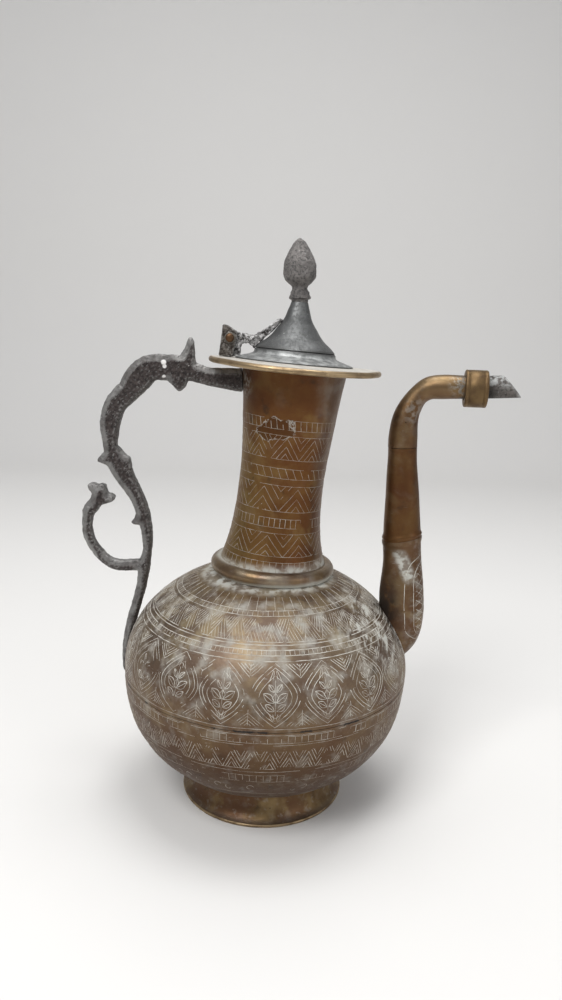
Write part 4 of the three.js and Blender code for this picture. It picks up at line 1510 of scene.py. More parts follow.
@dataclass(frozen=True)
class Spout:
    """The swan-neck spout, soldered up from a base, a shaft, a bend, a collar and a tip."""

    belly: Belly
    stand: float = 85.4
    height: float = 267.4
    reach: float = 147.4
    root_height: float = 101.0
    lean: float = 5.5
    wall: float = 1.3
    lap: float = 4.0
    base_end: float = 5.0
    shaft_end: float = 7.5
    bend_end: float = 15.0
    outlet_turn: float = 8.0
    collar_outer: float = 11.1
    collar_length: float = 13.4
    collar_back: float = 26.6
    collar_bore: float = 7.55
    collar_drop: float = 0.5
    tip_slant: float = 41.0
    tip_cut: float = 4.7
    tip_slack: float = -0.2
    around: int = 56

    @property
    def line(self) -> Swing:
        """Axis of the spout.

        Returns:
            A line whose points are distance out, radius and height.
        """
        bend = self.height - 31.4
        climb = bend - self.root_height
        root = (self.belly.radius_at(self.root_height) - 16, 14.5, self.root_height - 2.4)
        rise = [(self.stand + out, wide, self.root_height + climb * up) for out, wide, up in SPOUT_RISE]
        top = (self.stand - self.lean, 8.8, bend)
        turn = [(self.stand + out, wide, self.height + up) for out, wide, up in SPOUT_TURN]
        end = [(self.reach + out, wide, self.height + up) for out, wide, up in SPOUT_END]
        return Swing([root, *rise, top, *turn, *end])

    def ring(self, station: float, grow: float) -> list[Vector]:
        """Ring of the spout's skin at a station."""
        at, depth = self.line.at(station), 0.86 + 0.14 * eased(station, 4, 9)
        return hoop(at, self.line.run(station), at.y + grow, depth, self.around)

    def moved(self, station: float, distance: float) -> float:
        """A station moved along the spout by a distance."""
        step = self.line.at(station + 0.02) - self.line.at(station)
        return station + 0.02 * distance / hypot(step.x, step.z)

    def tube(self, loop: Iterable[Flat]) -> Skin:
        """Tube skinned over stations and their growths."""
        return skinned([self.ring(station, grow) for station, grow in loop])

    def tongue(self, start: float) -> list[Flat]:
        """The end of a tube that stands in the one below it.

        Args:
            start: Station at which the tube's own skin begins.

        Returns:
            Stations and growths, from the bore out.
        """
        outside = -self.wall - FIT
        inner = outside - self.wall
        low = self.moved(start, -self.lap)
        return [(start, inner), (low, inner), (low, outside), (start, outside)]

    def turn(self) -> Matrix:
        """Turn of the outlet about the upright through the top of the shaft."""
        out, turn = self.line.at(self.shaft_end).x, Matrix.Rotation(radians(-self.outlet_turn), 4, "Z")
        return Matrix.Translation((out, 0, 0)) @ turn @ Matrix.Translation((-out, 0, 0))

    def bruised(self, point: Vector) -> Vector:
        """Moves a point of the spout: a dent under the ridge and the waves of hand work.

        Args:
            point: The point.

        Returns:
            Where it is now.
        """
        away = point - Vector((82, -11, 161))
        push = 2.4 * exp(-((away.x / 7) ** 2) - ((away.y / 8) ** 2) - ((away.z / 5.5) ** 2))
        middle = Vector((self.stand - 2, 0, point.z))
        side = (point - middle).normalized()
        wave = 0.2 * ripple(side, point.z, 1.5, 17)
        tilt = 1.5 * side.x * exp(-(((point.z - 172) / 9) ** 2))
        return point + Vector((0, push, tilt)) + side * wave

    def runs(self, start: float, stop: float, steps: int, grow: float) -> list[Flat]:
        """Stations from start to stop with one growth."""
        return [(station, grow) for station in spaced(start, stop, steps)]

    def along(self, start: float, table: Iterable[Flat]) -> list[Flat]:
        """Stations at distances from a start, each with its growth."""
        return [(self.moved(start, distance), grow) for distance, grow in table]

    def base_zones(self, bench: Finish) -> Masks:
        """Masks of painted shade by the belly, of the chalky dent under the ridge, of pale dust on the outer
        side and of painted shade with a red reflection towards the bottom.

        Args:
            bench: The finish.

        Returns:
            The masks.
        """
        # near-black on the belly side, lower down: painted shade between the spout and the belly
        soot = bench.ease(bench.x, 88, 74) * bench.ease(bench.z, 158, 128) * bench.patches(8, 0.3, 0.52)
        slope = abs(bench.x - 84.5 + (bench.z - 157) * 0.45)
        smear = bench.ease(slope, 6.5, 1.5) * bench.ease(bench.z, 143, 150) * bench.ease(bench.z, 168, 163)
        smear = smear * bench.ease(bench.y, 0, -8) * (0.35 + 0.65 * bench.patches(3, 0.42, 0.6))
        dust = bench.ease(bench.x, 86, 97) * bench.patches(4, 0.42, 0.68) * 0.35
        # darker and redder towards the bottom: painted shade with a red reflection
        red = bench.ease(bench.z, 116, 100) * 0.5
        return {"soot": soot * 0.92, "pale": smear * 0.9 + dust, "low": red}

    def bend_zones(self, bench: Finish) -> Masks:
        """Masks of the solder smears on the bend, of a painted highlight along its top and of painted shade
        next to the collar.

        Args:
            bench: The finish.

        Returns:
            The masks.
        """
        first = bench.near((86, -9, 252), 12, 3) * bench.patches(3.4, 0.44, 0.6)
        second = bench.near((76, -8, 224), 7, 2) * bench.patches(3, 0.4, 0.6)
        end = bench.near((110, -9, 269), 9, 2) * bench.patches(2, 0.44, 0.62)
        # golden towards the top of the bend: painted highlight
        gold = bench.ease(bench.z, 256, 268) * 0.35
        # near-black next to the collar: painted shade
        soot = bench.ease(bench.x, 105, 113) * bench.patches(4, 0.4, 0.56) * 0.7
        return {"pale": first * 0.28 + second * 0.35 + end * 0.5, "gold": gold, "soot": soot}

    def tip_zones(self, bench: Finish) -> Masks:
        """Masks of the dark join at the collar with painted shade under the tube, and of the bright cut with
        a painted highlight along the top.

        Args:
            bench: The finish.

        Returns:
            The masks.
        """
        lean = radians(self.tip_slant)
        up = bench.z - self.height + self.tip_cut
        along = (bench.x - self.reach) * cos(lean) + up * sin(lean)
        cut = bench.ease(along, -3.2, -0.6) * (0.3 + 0.6 * bench.patches(2, 0.4, 0.6))
        # lighter towards the top of the tube: painted highlight
        light = bench.ease(bench.z, 266, 273) * bench.patches(3.5, 0.42, 0.56) * 0.75
        # dark by the collar: the join; darker towards the bottom: painted shade
        join_and_shade = bench.ease(bench.x, 132, 127.5) * 0.9 + bench.ease(bench.z, 267, 261) * 0.6
        return {"dark": join_and_shade, "light": cut + light}

    def tip(self) -> Skin:
        """The outlet tube, cut on a slant.

        Returns:
            A closed skin.
        """
        start, stop = self.moved(self.bend_end, FIT), float(self.line.last)
        cut_at = Vector((self.reach, 0, self.height - self.tip_cut))
        lean = radians(self.tip_slant)
        square = Vector((cos(lean), 0, sin(lean)))
        shares = spaced(0, 1, 16)
        rings = []
        for grow, run in ((self.tip_slack, shares), (self.tip_slack - self.wall, shares[::-1])):
            first = self.ring(start, grow)
            rays = [far - near for near, far in zip(first, self.ring(stop, grow))]
            ends = [at + ray * ((cut_at - at).dot(square) / ray.dot(square)) for at, ray in zip(first, rays)]
            rings += [[near.lerp(end, share) for near, end in zip(first, ends)] for share in run]
        return skinned(rings)

    def build_base(self) -> None:
        """Makes the swollen base with its rolled lip."""
        lip = self.moved(self.base_end, -3.2)
        low = self.runs(0, self.moved(lip, ROLLED_LIP[0][0]), 46, 0)
        rolled = [*self.along(lip, ROLLED_LIP), (self.base_end, 0.6)]
        base = self.tube([*low, *rolled, *self.runs(self.base_end, 0, 14, -self.wall)])
        copper = CopperFinish("spout_base_copper", dust=0.15, gold_share=0.4).material(self.base_zones)
        add_piece("spout_base_skin", base.pushed(self.bruised), copper, Slot.COPPER, ["spout_base"])

    def build_shaft(self) -> None:
        """Makes the shaft with the ridge of solder at its foot."""
        start = self.moved(self.base_end, FIT)
        upper = self.runs(self.moved(start, 4.4), self.shaft_end, 36, 0)
        inner = self.runs(self.shaft_end, self.moved(start, 2), 10, -self.wall)
        shaft = self.tube([*self.tongue(start), *self.along(start, SOLDER_RIDGE), *upper, *inner])
        tones = {"brown": (0.13, 0.066, 0.024), "red": (0.1, 0.041, 0.016)}
        copper = CopperFinish("spout_shaft_copper", dust=0.07, gold_share=0.2, **tones).material()
        add_piece("spout_shaft_skin", shaft.pushed(self.bruised), copper, Slot.COPPER, ["spout_shaft"])

    def build_bend(self) -> None:
        """Makes the bend, from the faint seam to the collar."""
        start = self.moved(self.shaft_end, FIT)
        upper = self.runs(start, self.bend_end, 96, 0)
        inner = self.runs(self.bend_end, self.moved(start, 2), 40, -self.wall)
        bend = self.tube([*self.tongue(start), *upper, *inner]).placed(self.turn())
        finish = CopperFinish("spout_bend_copper", brown=(0.15, 0.085, 0.038), dust=0.1, gold_share=0.3)
        add_piece("spout_bend_skin", bend, finish.material(self.bend_zones), Slot.COPPER, ["spout_bend"])

    def build_collar(self) -> None:
        """Makes the thick ring near the outlet."""
        half, outer, bore = self.collar_length / 2, self.collar_outer, self.collar_bore
        rounds = [(outer - 0.8, -half), (outer - 0.3, 0.2 - half), (outer, 0.8 - half)]
        lines = []
        for along in (-4.6, -4.1, 3.9, 4.4):
            lines += [(outer, along - 0.22), (outer - 0.16, along), (outer, along + 0.22)]
        far = [(outer, half - 0.8), (outer - 0.3, half - 0.2), (outer - 0.8, half)]
        profile = [(bore, -half), *rounds, *lines, *far, (bore, half)]
        place = Matrix.Translation((self.reach - self.collar_back, 0, self.height - self.collar_drop))
        along_x = Matrix.Rotation(radians(90), 4, "Y")
        ring = turned(profile, 96).placed(self.turn() @ place @ along_x)
        brass = BrassFinish("collar_brass", brass=(0.16, 0.104, 0.05), brown=(0.085, 0.05, 0.026), matt=0.4)
        add_piece("spout_collar_ring", ring, brass.material(), Slot.BRASS, ["spout_collar"])

    def build(self) -> None:
        """Makes the five tubes."""
        self.build_base()
        self.build_shaft()
        self.build_bend()
        self.build_collar()
        cast = TinFinish("tip_tin", grey=(0.22, 0.2, 0.185), dark=(0.05, 0.045, 0.04), rough_cast=0.8)
        tip = self.tip().placed(self.turn())
        add_piece("spout_tip_tube", tip, cast.material(self.tip_zones), Slot.CASTING, ["spout_tip"])


# Engraving


@dataclass(frozen=True)
class Band:
    """One engraved band between two heights."""

    strokes: list[Stroke]  # of one repeat
    repeats: int
    low: float
    high: float
    width: float = 0.55  # of a line
    worn: float = 0.36  # share worn away, about 0.3 for little and 0.6 for much
    waver: float = 0.5
    turns: float = 1.0  # share of a full turn


@dataclass(frozen=True)
class Rails:
    """Guide lines of a surface: its axis, and a line outside it from which strokes drop onto it."""

    axis: Object
    rail: Object
    lengths: list[Flat]

    def share(self, height: float) -> float:
        """Share of the rail's length that lies over a height of the surface.

        Args:
            height: The height.

        Returns:
            The share.
        """
        for (low, before), (high, after) in zip(self.lengths, self.lengths[1:]):
            if high >= height:
                part = (height - low) / (high - low)
                return (before + part * (after - before)) / self.lengths[-1][1]
        return 1.0


def guide(name: str, points: Sequence[Vector]) -> Object:
    """Links a helper line through points about the belly's axis.

    Args:
        name: Its name.
        points: The points.

    Returns:
        The line.
    """
    curve = bpy.data.curves.new(name, "CURVE")
    curve.dimensions = "3D"
    path = curve.splines.new("POLY")
    path.points.add(len(points) - 1)
    for knot, point in zip(path.points, points):
        knot.co = (*((point + Vector((BELLY_X, 0, 0))) * MM), 1)
    return scratch(name, curve)


def rails(name: str, stations: Sequence[tuple[Vector, Vector, float]]) -> Rails:
    """Makes the guide lines of a surface.

    Args:
        name: What they are for.
        stations: Points of the axis, points outside the surface in the X-Z plane on the spout's
            side, and the height of the surface under each of those.

    Returns:
        The guide lines.
    """
    lengths = [(stations[0][2], 0.0)]
    for (_, near, _), (_, far, height) in zip(stations, stations[1:]):
        lengths.append((height, lengths[-1][1] + (far - near).length))
    middles, outsides = ([station[place] for station in stations] for place in (0, 1))
    return Rails(guide(f"{name}_axis", middles), guide(f"{name}_rail", outsides), lengths)


class Engraver:
    """Wraps repeated strokes round a skin as thin raised lines of chalky residue."""

    SOCKETS = {
        "Geometry": ["Strokes"],
        "Object": ["Axis", "Rail", "Skin"],
        "Int": ["Repeats"],
        "Float": ["Line Width", "Sunk", "Waver", "Worn Away", "Seed"],
        "Material": ["Finish"],
    }
    MEAN_RADIUS = 55  # of the belly, for the length of a stroke
    STEP = 1.5  # length of the short edges that a stroke is laid down in
    REACH = 0.04  # how far a point may drop, in metres
    WAVER, WEAR, PRESS = 170.0, 62.0, 420.0  # how often the hand, the wear and the pressure change
    SUNK = 0.3  # how deep a line lies in its skin, as a share of its width

    def __init__(self) -> None:
        """Builds the tree."""
        self.tree = bpy.data.node_groups.new("engraved_band", "GeometryNodeTree")
        self.keys: dict[str, str] = {}
        face = self.tree.interface
        for kind, names in self.SOCKETS.items():
            for name in names:
                socket = face.new_socket(name, in_out="INPUT", socket_type=f"NodeSocket{kind}")
                self.keys[name] = socket.identifier
        face.new_socket("Lines", in_out="OUTPUT", socket_type="NodeSocketGeometry")
        self._fill()

    def _fill(self) -> None:
        """Adds the nodes: repeat, drop onto the skin, wear away, thicken."""
        bench = Bench(self.tree)
        add, vector = bench.add, bench.vector
        given = add("NodeGroupInput")
        repeats = given.other("Repeats")
        offset = add("ShaderNodeCombineXYZ", {}, {"X": 1.0 / repeats})
        starts = add("GeometryNodeMeshLine", {"mode": "OFFSET"}, {"Count": repeats, "Offset": offset})
        copies = {"Points": starts, "Instance": given.other("Strokes")}
        placed = add("GeometryNodeInstanceOnPoints", {}, copies)
        flat = add("GeometryNodeRealizeInstances", {}, {0: placed})
        merged = add("GeometryNodeMergeByDistance", {}, {0: flat, "Distance": 1e-6})
        place = add("ShaderNodeSeparateXYZ", {}, {0: add("GeometryNodeInputPosition")})
        along = place.other("Y")
        found = {}
        for name in ("Axis", "Rail"):
            line = add("GeometryNodeObjectInfo", {}, {0: given.other(name)}, "Geometry")
            place_on = {"Curves": line, "Factor": along}
            found[name] = add("GeometryNodeSampleCurve", {"mode": "FACTOR"}, place_on, "Position")
        middle, outside = found["Axis"], found["Rail"]
        upright = middle.other("Tangent")
        angle = place * (2 * pi)
        spoke = vector("SUBTRACT", outside, middle)
        inward = vector("CROSS_PRODUCT", outside.other("Tangent"), (0.0, 1.0, 0.0))
        settings = {"rotation_type": "AXIS_ANGLE"}
        arm, aim = (
            add("ShaderNodeVectorRotate", settings, {"Vector": line, "Axis": upright, "Angle": angle})
            for line in (spoke, inward)
        )
        source = vector("ADD", middle, arm)
        seed = vector("SCALE", (1.3, 0.7, 2.1), given.other("Seed"))
        shaken_at = vector("ADD", source, seed)
        hand = {"Vector": shaken_at, "Scale": self.WAVER, "Detail": 2.0}
        shake = add("ShaderNodeTexNoise", {}, hand, "Color")
        centred = vector("SUBTRACT", shake, (0.5, 0.5, 0.5))
        shaken = vector("ADD", source, vector("SCALE", centred, given.other("Waver")))
        skin = add("GeometryNodeObjectInfo", {}, {0: given.other("Skin")}, "Geometry")
        ray = {"Target Geometry": skin, "Source Position": shaken, "Ray Direction": aim}
        hit = add("GeometryNodeRaycast", {}, {**ray, "Ray Length": self.REACH}, "Is Hit")
        ground, facing = hit.other("Hit Position"), hit.other("Hit Normal")
        patch = add("ShaderNodeTexNoise", {}, {"Vector": shaken_at, "Scale": self.WEAR, "Detail": 3.0})
        limit = {0: patch, 1: given.other("Worn Away")}
        worn = add("FunctionNodeCompare", {"operation": "LESS_THAN"}, limit)
        missed = add("FunctionNodeBooleanMath", {"operation": "NOT"}, {0: hit})
        gone = add("FunctionNodeBooleanMath", {"operation": "OR"}, {0: missed, 1: worn})
        chosen = {"Geometry": merged, "Selection": gone}
        kept = add("GeometryNodeDeleteGeometry", {"domain": "POINT"}, chosen)
        sunk = vector("SUBTRACT", ground, vector("SCALE", facing, given.other("Sunk")))
        laid = add("GeometryNodeSetPosition", {}, {"Geometry": kept, "Position": sunk})
        lines = add("GeometryNodeMeshToCurve", {}, {0: laid})
        spot = add("GeometryNodeInputPosition")
        press = add("ShaderNodeTexNoise", {}, {"Vector": spot, "Scale": self.PRESS, "Detail": 1.0})
        radius = (0.5 + press) * 0.5 * given.other("Line Width")
        section = add("GeometryNodeCurvePrimitiveCircle", {}, {"Resolution": 4, "Radius": 1.0})
        shape = {"Curve": lines, "Profile Curve": section, "Scale": radius, "Fill Caps": True}
        solid = add("GeometryNodeCurveToMesh", {}, shape)
        real = add("GeometryNodeRealizeInstances", {}, {0: solid})
        done = add("GeometryNodeSetMaterial", {}, {"Geometry": real, "Material": given.other("Finish")})
        add("NodeGroupOutput", {}, {0: done})

    def motif(self, band: Band, lines: Rails) -> Mesh:
        """Lays the strokes of one repeat out flat, in short edges.

        Args:
            band: The band.
            lines: Guide lines of its surface.

        Returns:
            The edges. X is a share of a turn, Y a share of the guide lines.
        """
        start, stop = lines.share(band.low), lines.share(band.high)
        tall = band.high - band.low
        wide = 2 * pi * self.MEAN_RADIUS * band.turns / band.repeats
        points, edges = [], []
        for stroke in band.strokes:
            for near, far in zip(stroke, stroke[1:]):
                length = hypot((far[0] - near[0]) * wide, (far[1] - near[1]) * tall)
                count = max(1, round(length / self.STEP))
                first = len(points)
                for share in spaced(0, 1, count):
                    u = (near[0] + (far[0] - near[0]) * share) * band.turns / band.repeats
                    v = near[1] + (far[1] - near[1]) * share
                    points.append((u, start + v * (stop - start), 0.0))
                edges += [(first + i, first + i + 1) for i in range(count)]
        mesh = bpy.data.meshes.new("strokes")
        mesh.from_pydata(points, edges, [])
        return mesh

    def wrapped(self, band: Band, lines: Rails, skin: Object, finish: Material) -> Mesh:
        """Wraps one band round a skin.

        Args:
            band: The band.
            lines: Guide lines of the surface.
            skin: The piece that is engraved.
            finish: Material of the lines.

        Returns:
            The lines as a plain mesh.
        """
        helper = scratch("strokes", self.motif(band, lines))
        wrap = helper.modifiers.new("engrave", "NODES")
        wrap.node_group = self.tree
        values = {
            "Axis": lines.axis,
            "Rail": lines.rail,
            "Skin": skin,
            "Repeats": band.repeats,
            "Line Width": band.width * MM,
            "Sunk": self.SUNK * band.width * MM,
            "Waver": band.waver * MM,
            "Worn Away": band.worn,
            "Seed": round(band.low * 0.37 + band.high * 0.11, 3),
            "Finish": finish,
        }
        for name, value in values.items():
            wrap[self.keys[name]] = value
        mesh = evaluated(helper)
        drop(helper)
        return mesh

    def engrave(self, name: str, lines: Rails, skin: str, finish: Material, bands: Iterable[Band]) -> None:
        """Engraves bands and joins them into one piece of the vessel.

        Args:
            name: Name of the piece.
            lines: Guide lines of the surface.
            skin: Name of the piece that is engraved.
            finish: Material of the lines.
            bands: The bands.
        """
        ground = bpy.data.objects[skin]
        whole = bmesh.new()
        for band in bands:
            whole.from_mesh(self.wrapped(band, lines, ground, finish))
        mesh = bpy.data.meshes.new(name)
        whole.to_mesh(mesh)
        whole.free()
        add_piece(name, mesh, finish, Slot.COPPER, crease=180)


# Strokes of one repeat, in a square from 0 to 1


def rule(*heights: float) -> list[Stroke]:
    """Lines right round."""
    return [[(0, height), (1, height)] for height in heights]


def ladder(slant: float = 0.0) -> list[Stroke]:
    """Two lines with a rung between them."""
    return [*rule(0, 1), [(0.5 - slant / 2, 0), (0.5 + slant / 2, 1)]]


def spoke() -> list[Stroke]:
    """One upright line."""
    return [[(0.5, 0), (0.5, 1)]]


def zigzag(nested: int, gap: float = 0.16) -> list[Stroke]:
    """A double zigzag with smaller chevrons in each of its triangles.

    Args:
        nested: Count of the chevrons in a triangle.
        gap: Distance between the two lines of the zigzag.

    Returns:
        The strokes.
    """
    strokes: list[Stroke] = [[(0, 0), (0.5, 1 - gap / 2), (1, 0)]]
    strokes.append([(gap, 0), (0.5, 1 - 2.4 * gap), (1 - gap, 0)])
    strokes.append([(-0.5 + gap, 1), (0, 2.1 * gap), (0.5 - gap, 1)])
    for i in range(1, nested + 1):
        inset = gap * (1 + 0.85 * i)
        if inset < 0.45:
            peak = (0.5 - inset) * 1.75
            strokes.append([(inset, 0), (0.5, peak), (1 - inset, 0)])
            strokes.append([(-0.5 + inset, 1), (0, 1 - peak), (0.5 - inset, 1)])
    return strokes


def hatched() -> list[Stroke]:
    """Hatched triangles that stand on a line, with crossed lines between them.

    Returns:
        The strokes.
    """
    strokes: list[Stroke] = [[(0.04, 0), (0.5, 0.98), (0.96, 0)], [(-0.42, 1), (0, 0.3), (0.42, 1)]]
    for share in (0.22, 0.42, 0.62, 0.8):
        strokes.append([(0.04 + 0.46 * share, 0.98 * share), (0.04 + 0.92 * share, 0)])
        strokes.append([(-0.42 + 0.42 * share, 1 - 0.7 * share), (-0.42 + 0.84 * share, 1)])
    return strokes


def oval(middle: Flat, wide: float, tall: float, steps: int = 26) -> Stroke:
    """A pointed oval.

    Args:
        middle: Its middle.
        wide: Half its width.
        tall: Half its height.
        steps: Points along each side.

    Returns:
        A closed stroke.
    """
    bow = [(wide * (1 - abs(t) ** 1.75), middle[1] + tall * t) for t in spaced(-1, 1, steps)]
    right = [(middle[0] + across, up) for across, up in bow]
    left = [(2 * middle[0] - across, up) for across, up in reversed(right)]
    return [*right, *left]


def leaf(start: Flat, stop: Flat, swell: float) -> Stroke:
    """A leaf between two points, closed, with bowed sides.

    Args:
        start: Its root.
        stop: Its tip.
        swell: How far a side bows, as a share of its length.

    Returns:
        A closed stroke.
    """
    run = Vector(stop) - Vector(start)
    side = Vector((-run.y, run.x)) * swell
    edges = []
    for sign in (1, -1):
        shares = spaced(0, 1, 8) if sign == 1 else spaced(1, 0, 8)
        edges += [tuple(Vector(start) + run * t + side * (sign * sin(pi * t))) for t in shares]
    return edges


def medallion() -> list[Stroke]:
    """A pointed oval in double line with leaves inside, and hatched corners between ovals.

    Returns:
        The strokes.
    """
    strokes = [oval((0.5, 0.5), 0.48, 0.5), oval((0.5, 0.5), 0.41, 0.43)]
    strokes.append(oval((0.5, 0.48), 0.31, 0.33, 16))
    strokes.append([(0.5, 0.2), (0.5, 0.74)])
    strokes.append([(0.5, 0.39), (0.56, 0.47), (0.5, 0.55), (0.44, 0.47), (0.5, 0.39)])
    for across, low, high in ((0.19, 0.27, 0.37), (0.23, 0.4, 0.54), (0.13, 0.56, 0.68)):
        for side in (-1, 1):
            root, tip = (0.5 + 0.02 * side, low), (0.5 + across * side, high)
            strokes += [leaf(root, tip, 0.24 * side), [root, tip]]
    for spread in (-0.12, -0.05, 0.05, 0.12):
        strokes.append([(0.5 + spread * 0.3, 0.89), (0.5 + spread, 0.73)])
        strokes.append([(0.5 + spread * 0.3, 0.1), (0.5 + spread * 0.9, 0.22)])
    for share in (0.2, 0.4, 0.62, 0.84):
        reach = 0.36 * (1 - share)
        strokes.append([(-reach, 0.985), (0, 0.985 - 0.75 * reach), (reach, 0.985)])
        strokes.append([(-reach, 0.02), (0, 0.02 + 0.72 * reach), (reach, 0.02)])
    strokes += [[(0, 0.7), (0, 0.98)], [(0, 0.02), (0, 0.28)]]
    return strokes


def scrolls() -> list[Stroke]:
    """Loose worn curls.

    Returns:
        The strokes.
    """
    strokes: list[Stroke] = []
    for middle, size, turn in (((0.2, 0.5), 0.34, 0.4), ((0.55, 0.35), 0.28, 2.2), ((0.85, 0.6), 0.3, 4.1)):
        curl = []
        for t in spaced(0, 1, 12):
            angle, wide = turn + t * 4.2, size * 0.4 * (1 - 0.7 * t)
            tall = size * (1 - 0.7 * t)
            curl.append((middle[0] + wide * cos(angle), middle[1] + tall * sin(angle)))
        strokes.append(curl)
    return strokes


def tongue(wide: float, tall: float) -> Stroke:
    """Outline of a long panel with pointed ends."""
    right = [(wide * (1 - abs(t) ** 5) ** 0.7, 0.5 + tall * t) for t in spaced(-1, 1, 36)]
    return [*right, *[(-across, up) for across, up in reversed(right)]]


def net() -> list[Stroke]:
    """A pointed panel filled with a net, from -0.5 to 0.5 along.

    Returns:
        The strokes.
    """
    wide, tall = 0.34, 0.44
    strokes = [tongue(0.5, 0.5), tongue(wide, tall)]
    for i in range(-4, 9):
        for sign in (1, -1):
            line = []
            for t in spaced(-1, 1, 16):
                up = 0.5 + 0.1 * (i - 2) + sign * t * 0.15
                room = wide * max(0.0, 1 - min(1.0, abs(up - 0.5) / tall) ** 5) ** 0.7
                if abs(t) * wide <= room:
                    line.append((t * wide, up))
            if len(line) > 1:
                strokes.append(line)
    return strokes


# Bands of the shoulder half from the neck down, of the bowl from the seam down, and of the neck
# from the scar down
RULED = rule(0.5)
SHOULDER_BANDS = (
    Band(spoke(), 62, 140.2, 144.9, 0.62, 0.3),
    Band(ladder(), 120, 138.3, 140.2, 0.6, 0.3),
    Band([*hatched(), *rule(0)], 40, 128.2, 137.2, worn=0.38),
    Band(rule(0, 1), 60, 124.9, 127, 0.65, 0.3),
    Band(ladder(), 180, 122.6, 124.9, 0.6, 0.33),
    Band(RULED, 60, 120, 120.4, 0.65, 0.33),
    Band(medallion(), 19, 87.4, 119.4, 0.52, 0.38),
    Band(RULED, 60, 86, 86.4, worn=0.38),
)
BOWL_BANDS = (
    Band(RULED, 60, 82.4, 82.8, worn=0.4),
    Band(ladder(), 150, 77.6, 81.9, worn=0.42),
    Band(RULED, 60, 76.1, 76.5, worn=0.42),
    Band([*zigzag(1), *rule(0)], 52, 60.6, 72.5, worn=0.42),
    Band(RULED, 60, 58, 58.4, worn=0.42),
    Band(ladder(), 136, 50, 55.4, 0.5, 0.44),
    Band(scrolls(), 26, 38.5, 48.1, 0.5, 0.46),
    Band(RULED, 60, 36.6, 37, 0.5, 0.46),
)
WIDE, NARROW = ([*zigzag(1, gap), *rule(0, 1)] for gap in (0.19, 0.2))
NECK_BANDS = (
    Band(ladder(-0.3), 50, 239.9, 245.5, 0.5, 0.38),
    Band(WIDE, 10, 222.7, 236.4, 0.5, 0.39),
    Band(ladder(-0.6), 36, 211.8, 217.4, 0.5, 0.38),
    Band(NARROW, 8, 192.5, 207.6, 0.5, 0.38),
    Band(ladder(), 52, 183.2, 188.3, 0.5, 0.4),
    Band(NARROW, 9, 167.2, 179.9, 0.5, 0.37),
    Band(ladder(), 52, 158.6, 164.1, 0.55, 0.34),
)
SPOUT_BANDS = (Band(net(), 1, 112, 163, 0.45, 0.3, turns=0.5),)


@dataclass(frozen=True)
class Engraving:
    """All engraved bands of the ewer."""

    belly: Belly
    neck: Neck
    spout: Spout
    hover: float = 8.0
    spout_hover: float = 7.0

    def belly_rails(self) -> Rails:
        """Guide lines of the belly.

        Returns:
            The guide lines.
        """
        stations = []
        for height in spaced(22, 149.5, 90):
            angle = self.belly.angle(height)
            near, far = Vector(self.belly.point(angle - 0.2)), Vector(self.belly.point(angle + 0.2))
            run = (far - near).normalized()
            point = Vector(self.belly.point(angle)) + Vector((run.y, -run.x)) * self.hover
            stations.append((Vector((0, 0, height)), Vector((point.x, 0, point.y)), height))
        return rails("belly", stations)

    def neck_rails(self) -> Rails:
        """Guide lines of the neck.

        Returns:
            The guide lines.
        """
        stations = []
        for share in spaced(0, 1, 60):
            at, run = self.neck.axis(share), self.neck.run(share)
            across = Vector((run.z, 0, -run.x))
            stations.append((at, at + across * (self.neck.radius_at(share) + self.hover), at.z))
        return rails("neck", stations)

    def spout_rails(self) -> Rails:
        """Guide lines of the spout's base.

        Returns:
            The guide lines.
        """
        stations = []
        line = self.spout.line
        for station in spaced(0.9, 4.9, 50):
            at, run = line.at(station), line.run(station)
            middle = Vector((at.x, 0, at.z))
            across = Vector((run.z, 0, -run.x)).normalized()
            stations.append((middle, middle + across * (at.y + self.spout_hover), at.z))
        return rails("spout", stations)

    def build(self) -> None:
        """Engraves the belly, the neck and the panel on the spout's base."""
        engraver = Engraver()
        chalk = ChalkFinish("belly_chalk", pale=(0.6, 0.58, 0.52)).material()
        belly = self.belly_rails()
        engraver.engrave("shoulder_engraving", belly, "shoulder_skin", chalk, SHOULDER_BANDS)
        engraver.engrave("bowl_engraving", belly, "bowl_skin", chalk, BOWL_BANDS)
        chalk = ChalkFinish("neck_chalk", pale=(0.4, 0.35, 0.29), bright_from=140, bright_to=160).material()
        neck = self.neck_rails()
        engraver.engrave("neck_engraving", neck, "neck_skin", chalk, NECK_BANDS)
        chalk = ChalkFinish("spout_chalk", bright_from=90, bright_to=130).material()
        spout = self.spout_rails()
        engraver.engrave("spout_engraving", spout, "spout_base_skin", chalk, SPOUT_BANDS)
        for lines in (belly, neck, spout):
            drop(lines.axis, lines.rail)


# Studio

# Name, place in metres, length of a side and power of each lamp
LAMPS = (
    ("key_lamp", (-0.55, -0.95, 1.45), 0.7, 17),
    ("fill_lamp", (1.2, -0.9, 0.8), 0.9, 4),
    ("top_lamp", (0.1, 0.1, 1.6), 0.8, 12),
)


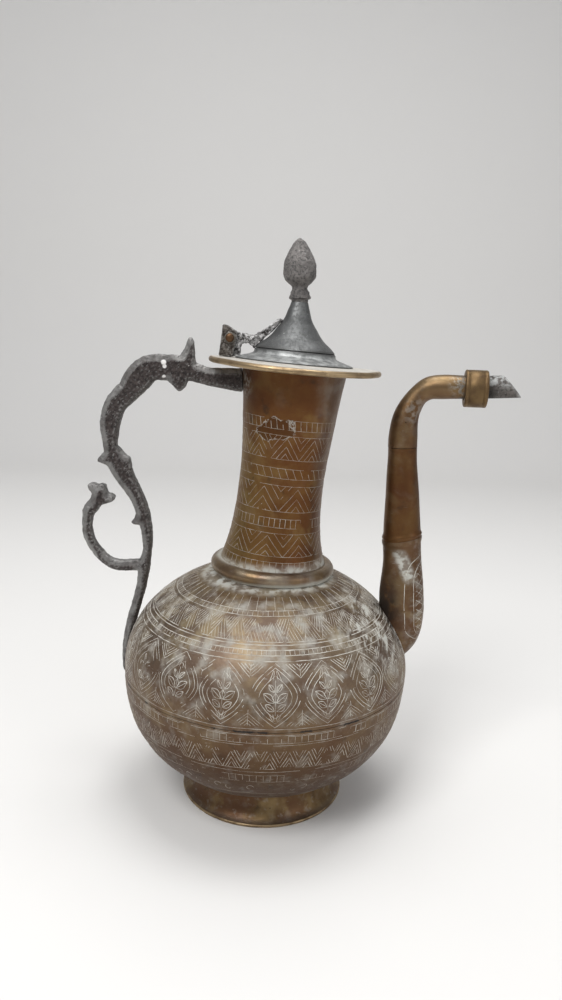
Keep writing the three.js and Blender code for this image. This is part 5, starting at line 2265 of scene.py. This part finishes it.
@dataclass(frozen=True)
class Studio:
    """Camera, lamps, floor and backdrop. The floor's sizes are in metres."""

    camera_place: Place = (-7.77, -459.0, 289.13)
    pitch: float = 11.74
    roll: float = 2.0
    focal: float = 27.0
    pale: Colour = (0.8, 0.79, 0.77)
    front: float = -2.4
    back: float = 1.2
    bend: float = 0.5
    top: float = 3.2
    side: float = 3.5
    target: Place = (0, 0, 0.16)

    def camera(self) -> None:
        """Puts the camera where the photograph was taken from."""
        data = bpy.data.cameras.new("photo_camera")
        data.sensor_width = 36
        data.lens = self.focal
        data.clip_start = 0.01
        camera = scratch("photo_camera", data)
        down, turn = radians(90 - self.pitch), radians(self.roll)
        tilt = Matrix.Rotation(down, 4, "X") @ Matrix.Rotation(turn, 4, "Z")
        camera.matrix_world = Matrix.Translation(Vector(self.camera_place) * MM) @ tilt
        bpy.context.scene.camera = camera

    def floor(self) -> None:
        """Makes a pale floor that turns up into a backdrop."""
        mesh = bpy.data.meshes.new("sweep")
        back, bend = self.back, self.bend
        line = [(self.front, 0.0), (back, 0.0)]
        line += [(back + bend * sin(a), bend - bend * cos(a)) for a in spaced(0.1, pi / 2, 14)]
        line.append((back + bend, self.top))
        points = [(x, y, z) for y, z in line for x in (-self.side, self.side)]
        faces = [(2 * i, 2 * i + 1, 2 * i + 3, 2 * i + 2) for i in range(len(line) - 1)]
        mesh.from_pydata(points, [], faces)
        mesh.shade_smooth()
        floor = scratch("studio_sweep", mesh)
        material = bpy.data.materials.new("pale_paper")
        material.use_nodes = True
        shader = material.node_tree.nodes["Principled BSDF"]
        matt = {"Base Color": (*self.pale, 1), "Roughness": 0.9, "Specular IOR Level": 0.1}
        Bench(material.node_tree).feed(shader, matt)
        mesh.materials.append(material)

    def lamp(self, name: str, place: Place, size: float, watts: float) -> None:
        """Adds a soft square lamp that faces the ewer.

        Args:
            name: Name of the lamp.
            place: Where it hangs, in metres.
            size: Length of its side.
            watts: Its power.
        """
        data = bpy.data.lights.new(name, "AREA")
        data.size = size
        data.energy = watts
        lamp = scratch(name, data)
        turn = (Vector(place) - Vector(self.target)).to_track_quat("Z", "Y").to_matrix().to_4x4()
        lamp.matrix_world = Matrix.Translation(place) @ turn

    def build(self) -> None:
        """Sets up the whole studio."""
        self.camera()
        self.floor()
        for name, place, size, watts in LAMPS:
            self.lamp(name, place, size, watts)
        world = bpy.data.worlds.new("studio_air")
        world.use_nodes = True
        air = {"Color": (0.95, 0.96, 1.0, 1), "Strength": 0.36}
        Bench(world.node_tree).feed(world.node_tree.nodes["Background"], air)
        bpy.context.scene.world = world
        bpy.context.scene.view_settings.view_transform = "Standard"


def main() -> None:
    """Builds the studio and dresses the ewer."""
    logging.basicConfig(level=logging.INFO, format="%(name)s %(message)s")
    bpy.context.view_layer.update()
    Studio().build()
    belly = Belly()
    belly.build()
    Foot(belly).build()
    neck = Neck(belly)
    neck.build()
    head = Head(neck)
    head.build()
    Lid(head).build()
    Handle().build()
    spout = Spout(belly)
    spout.build()
    Engraving(belly, neck, spout).build()


if __name__ == "__main__":
    main()
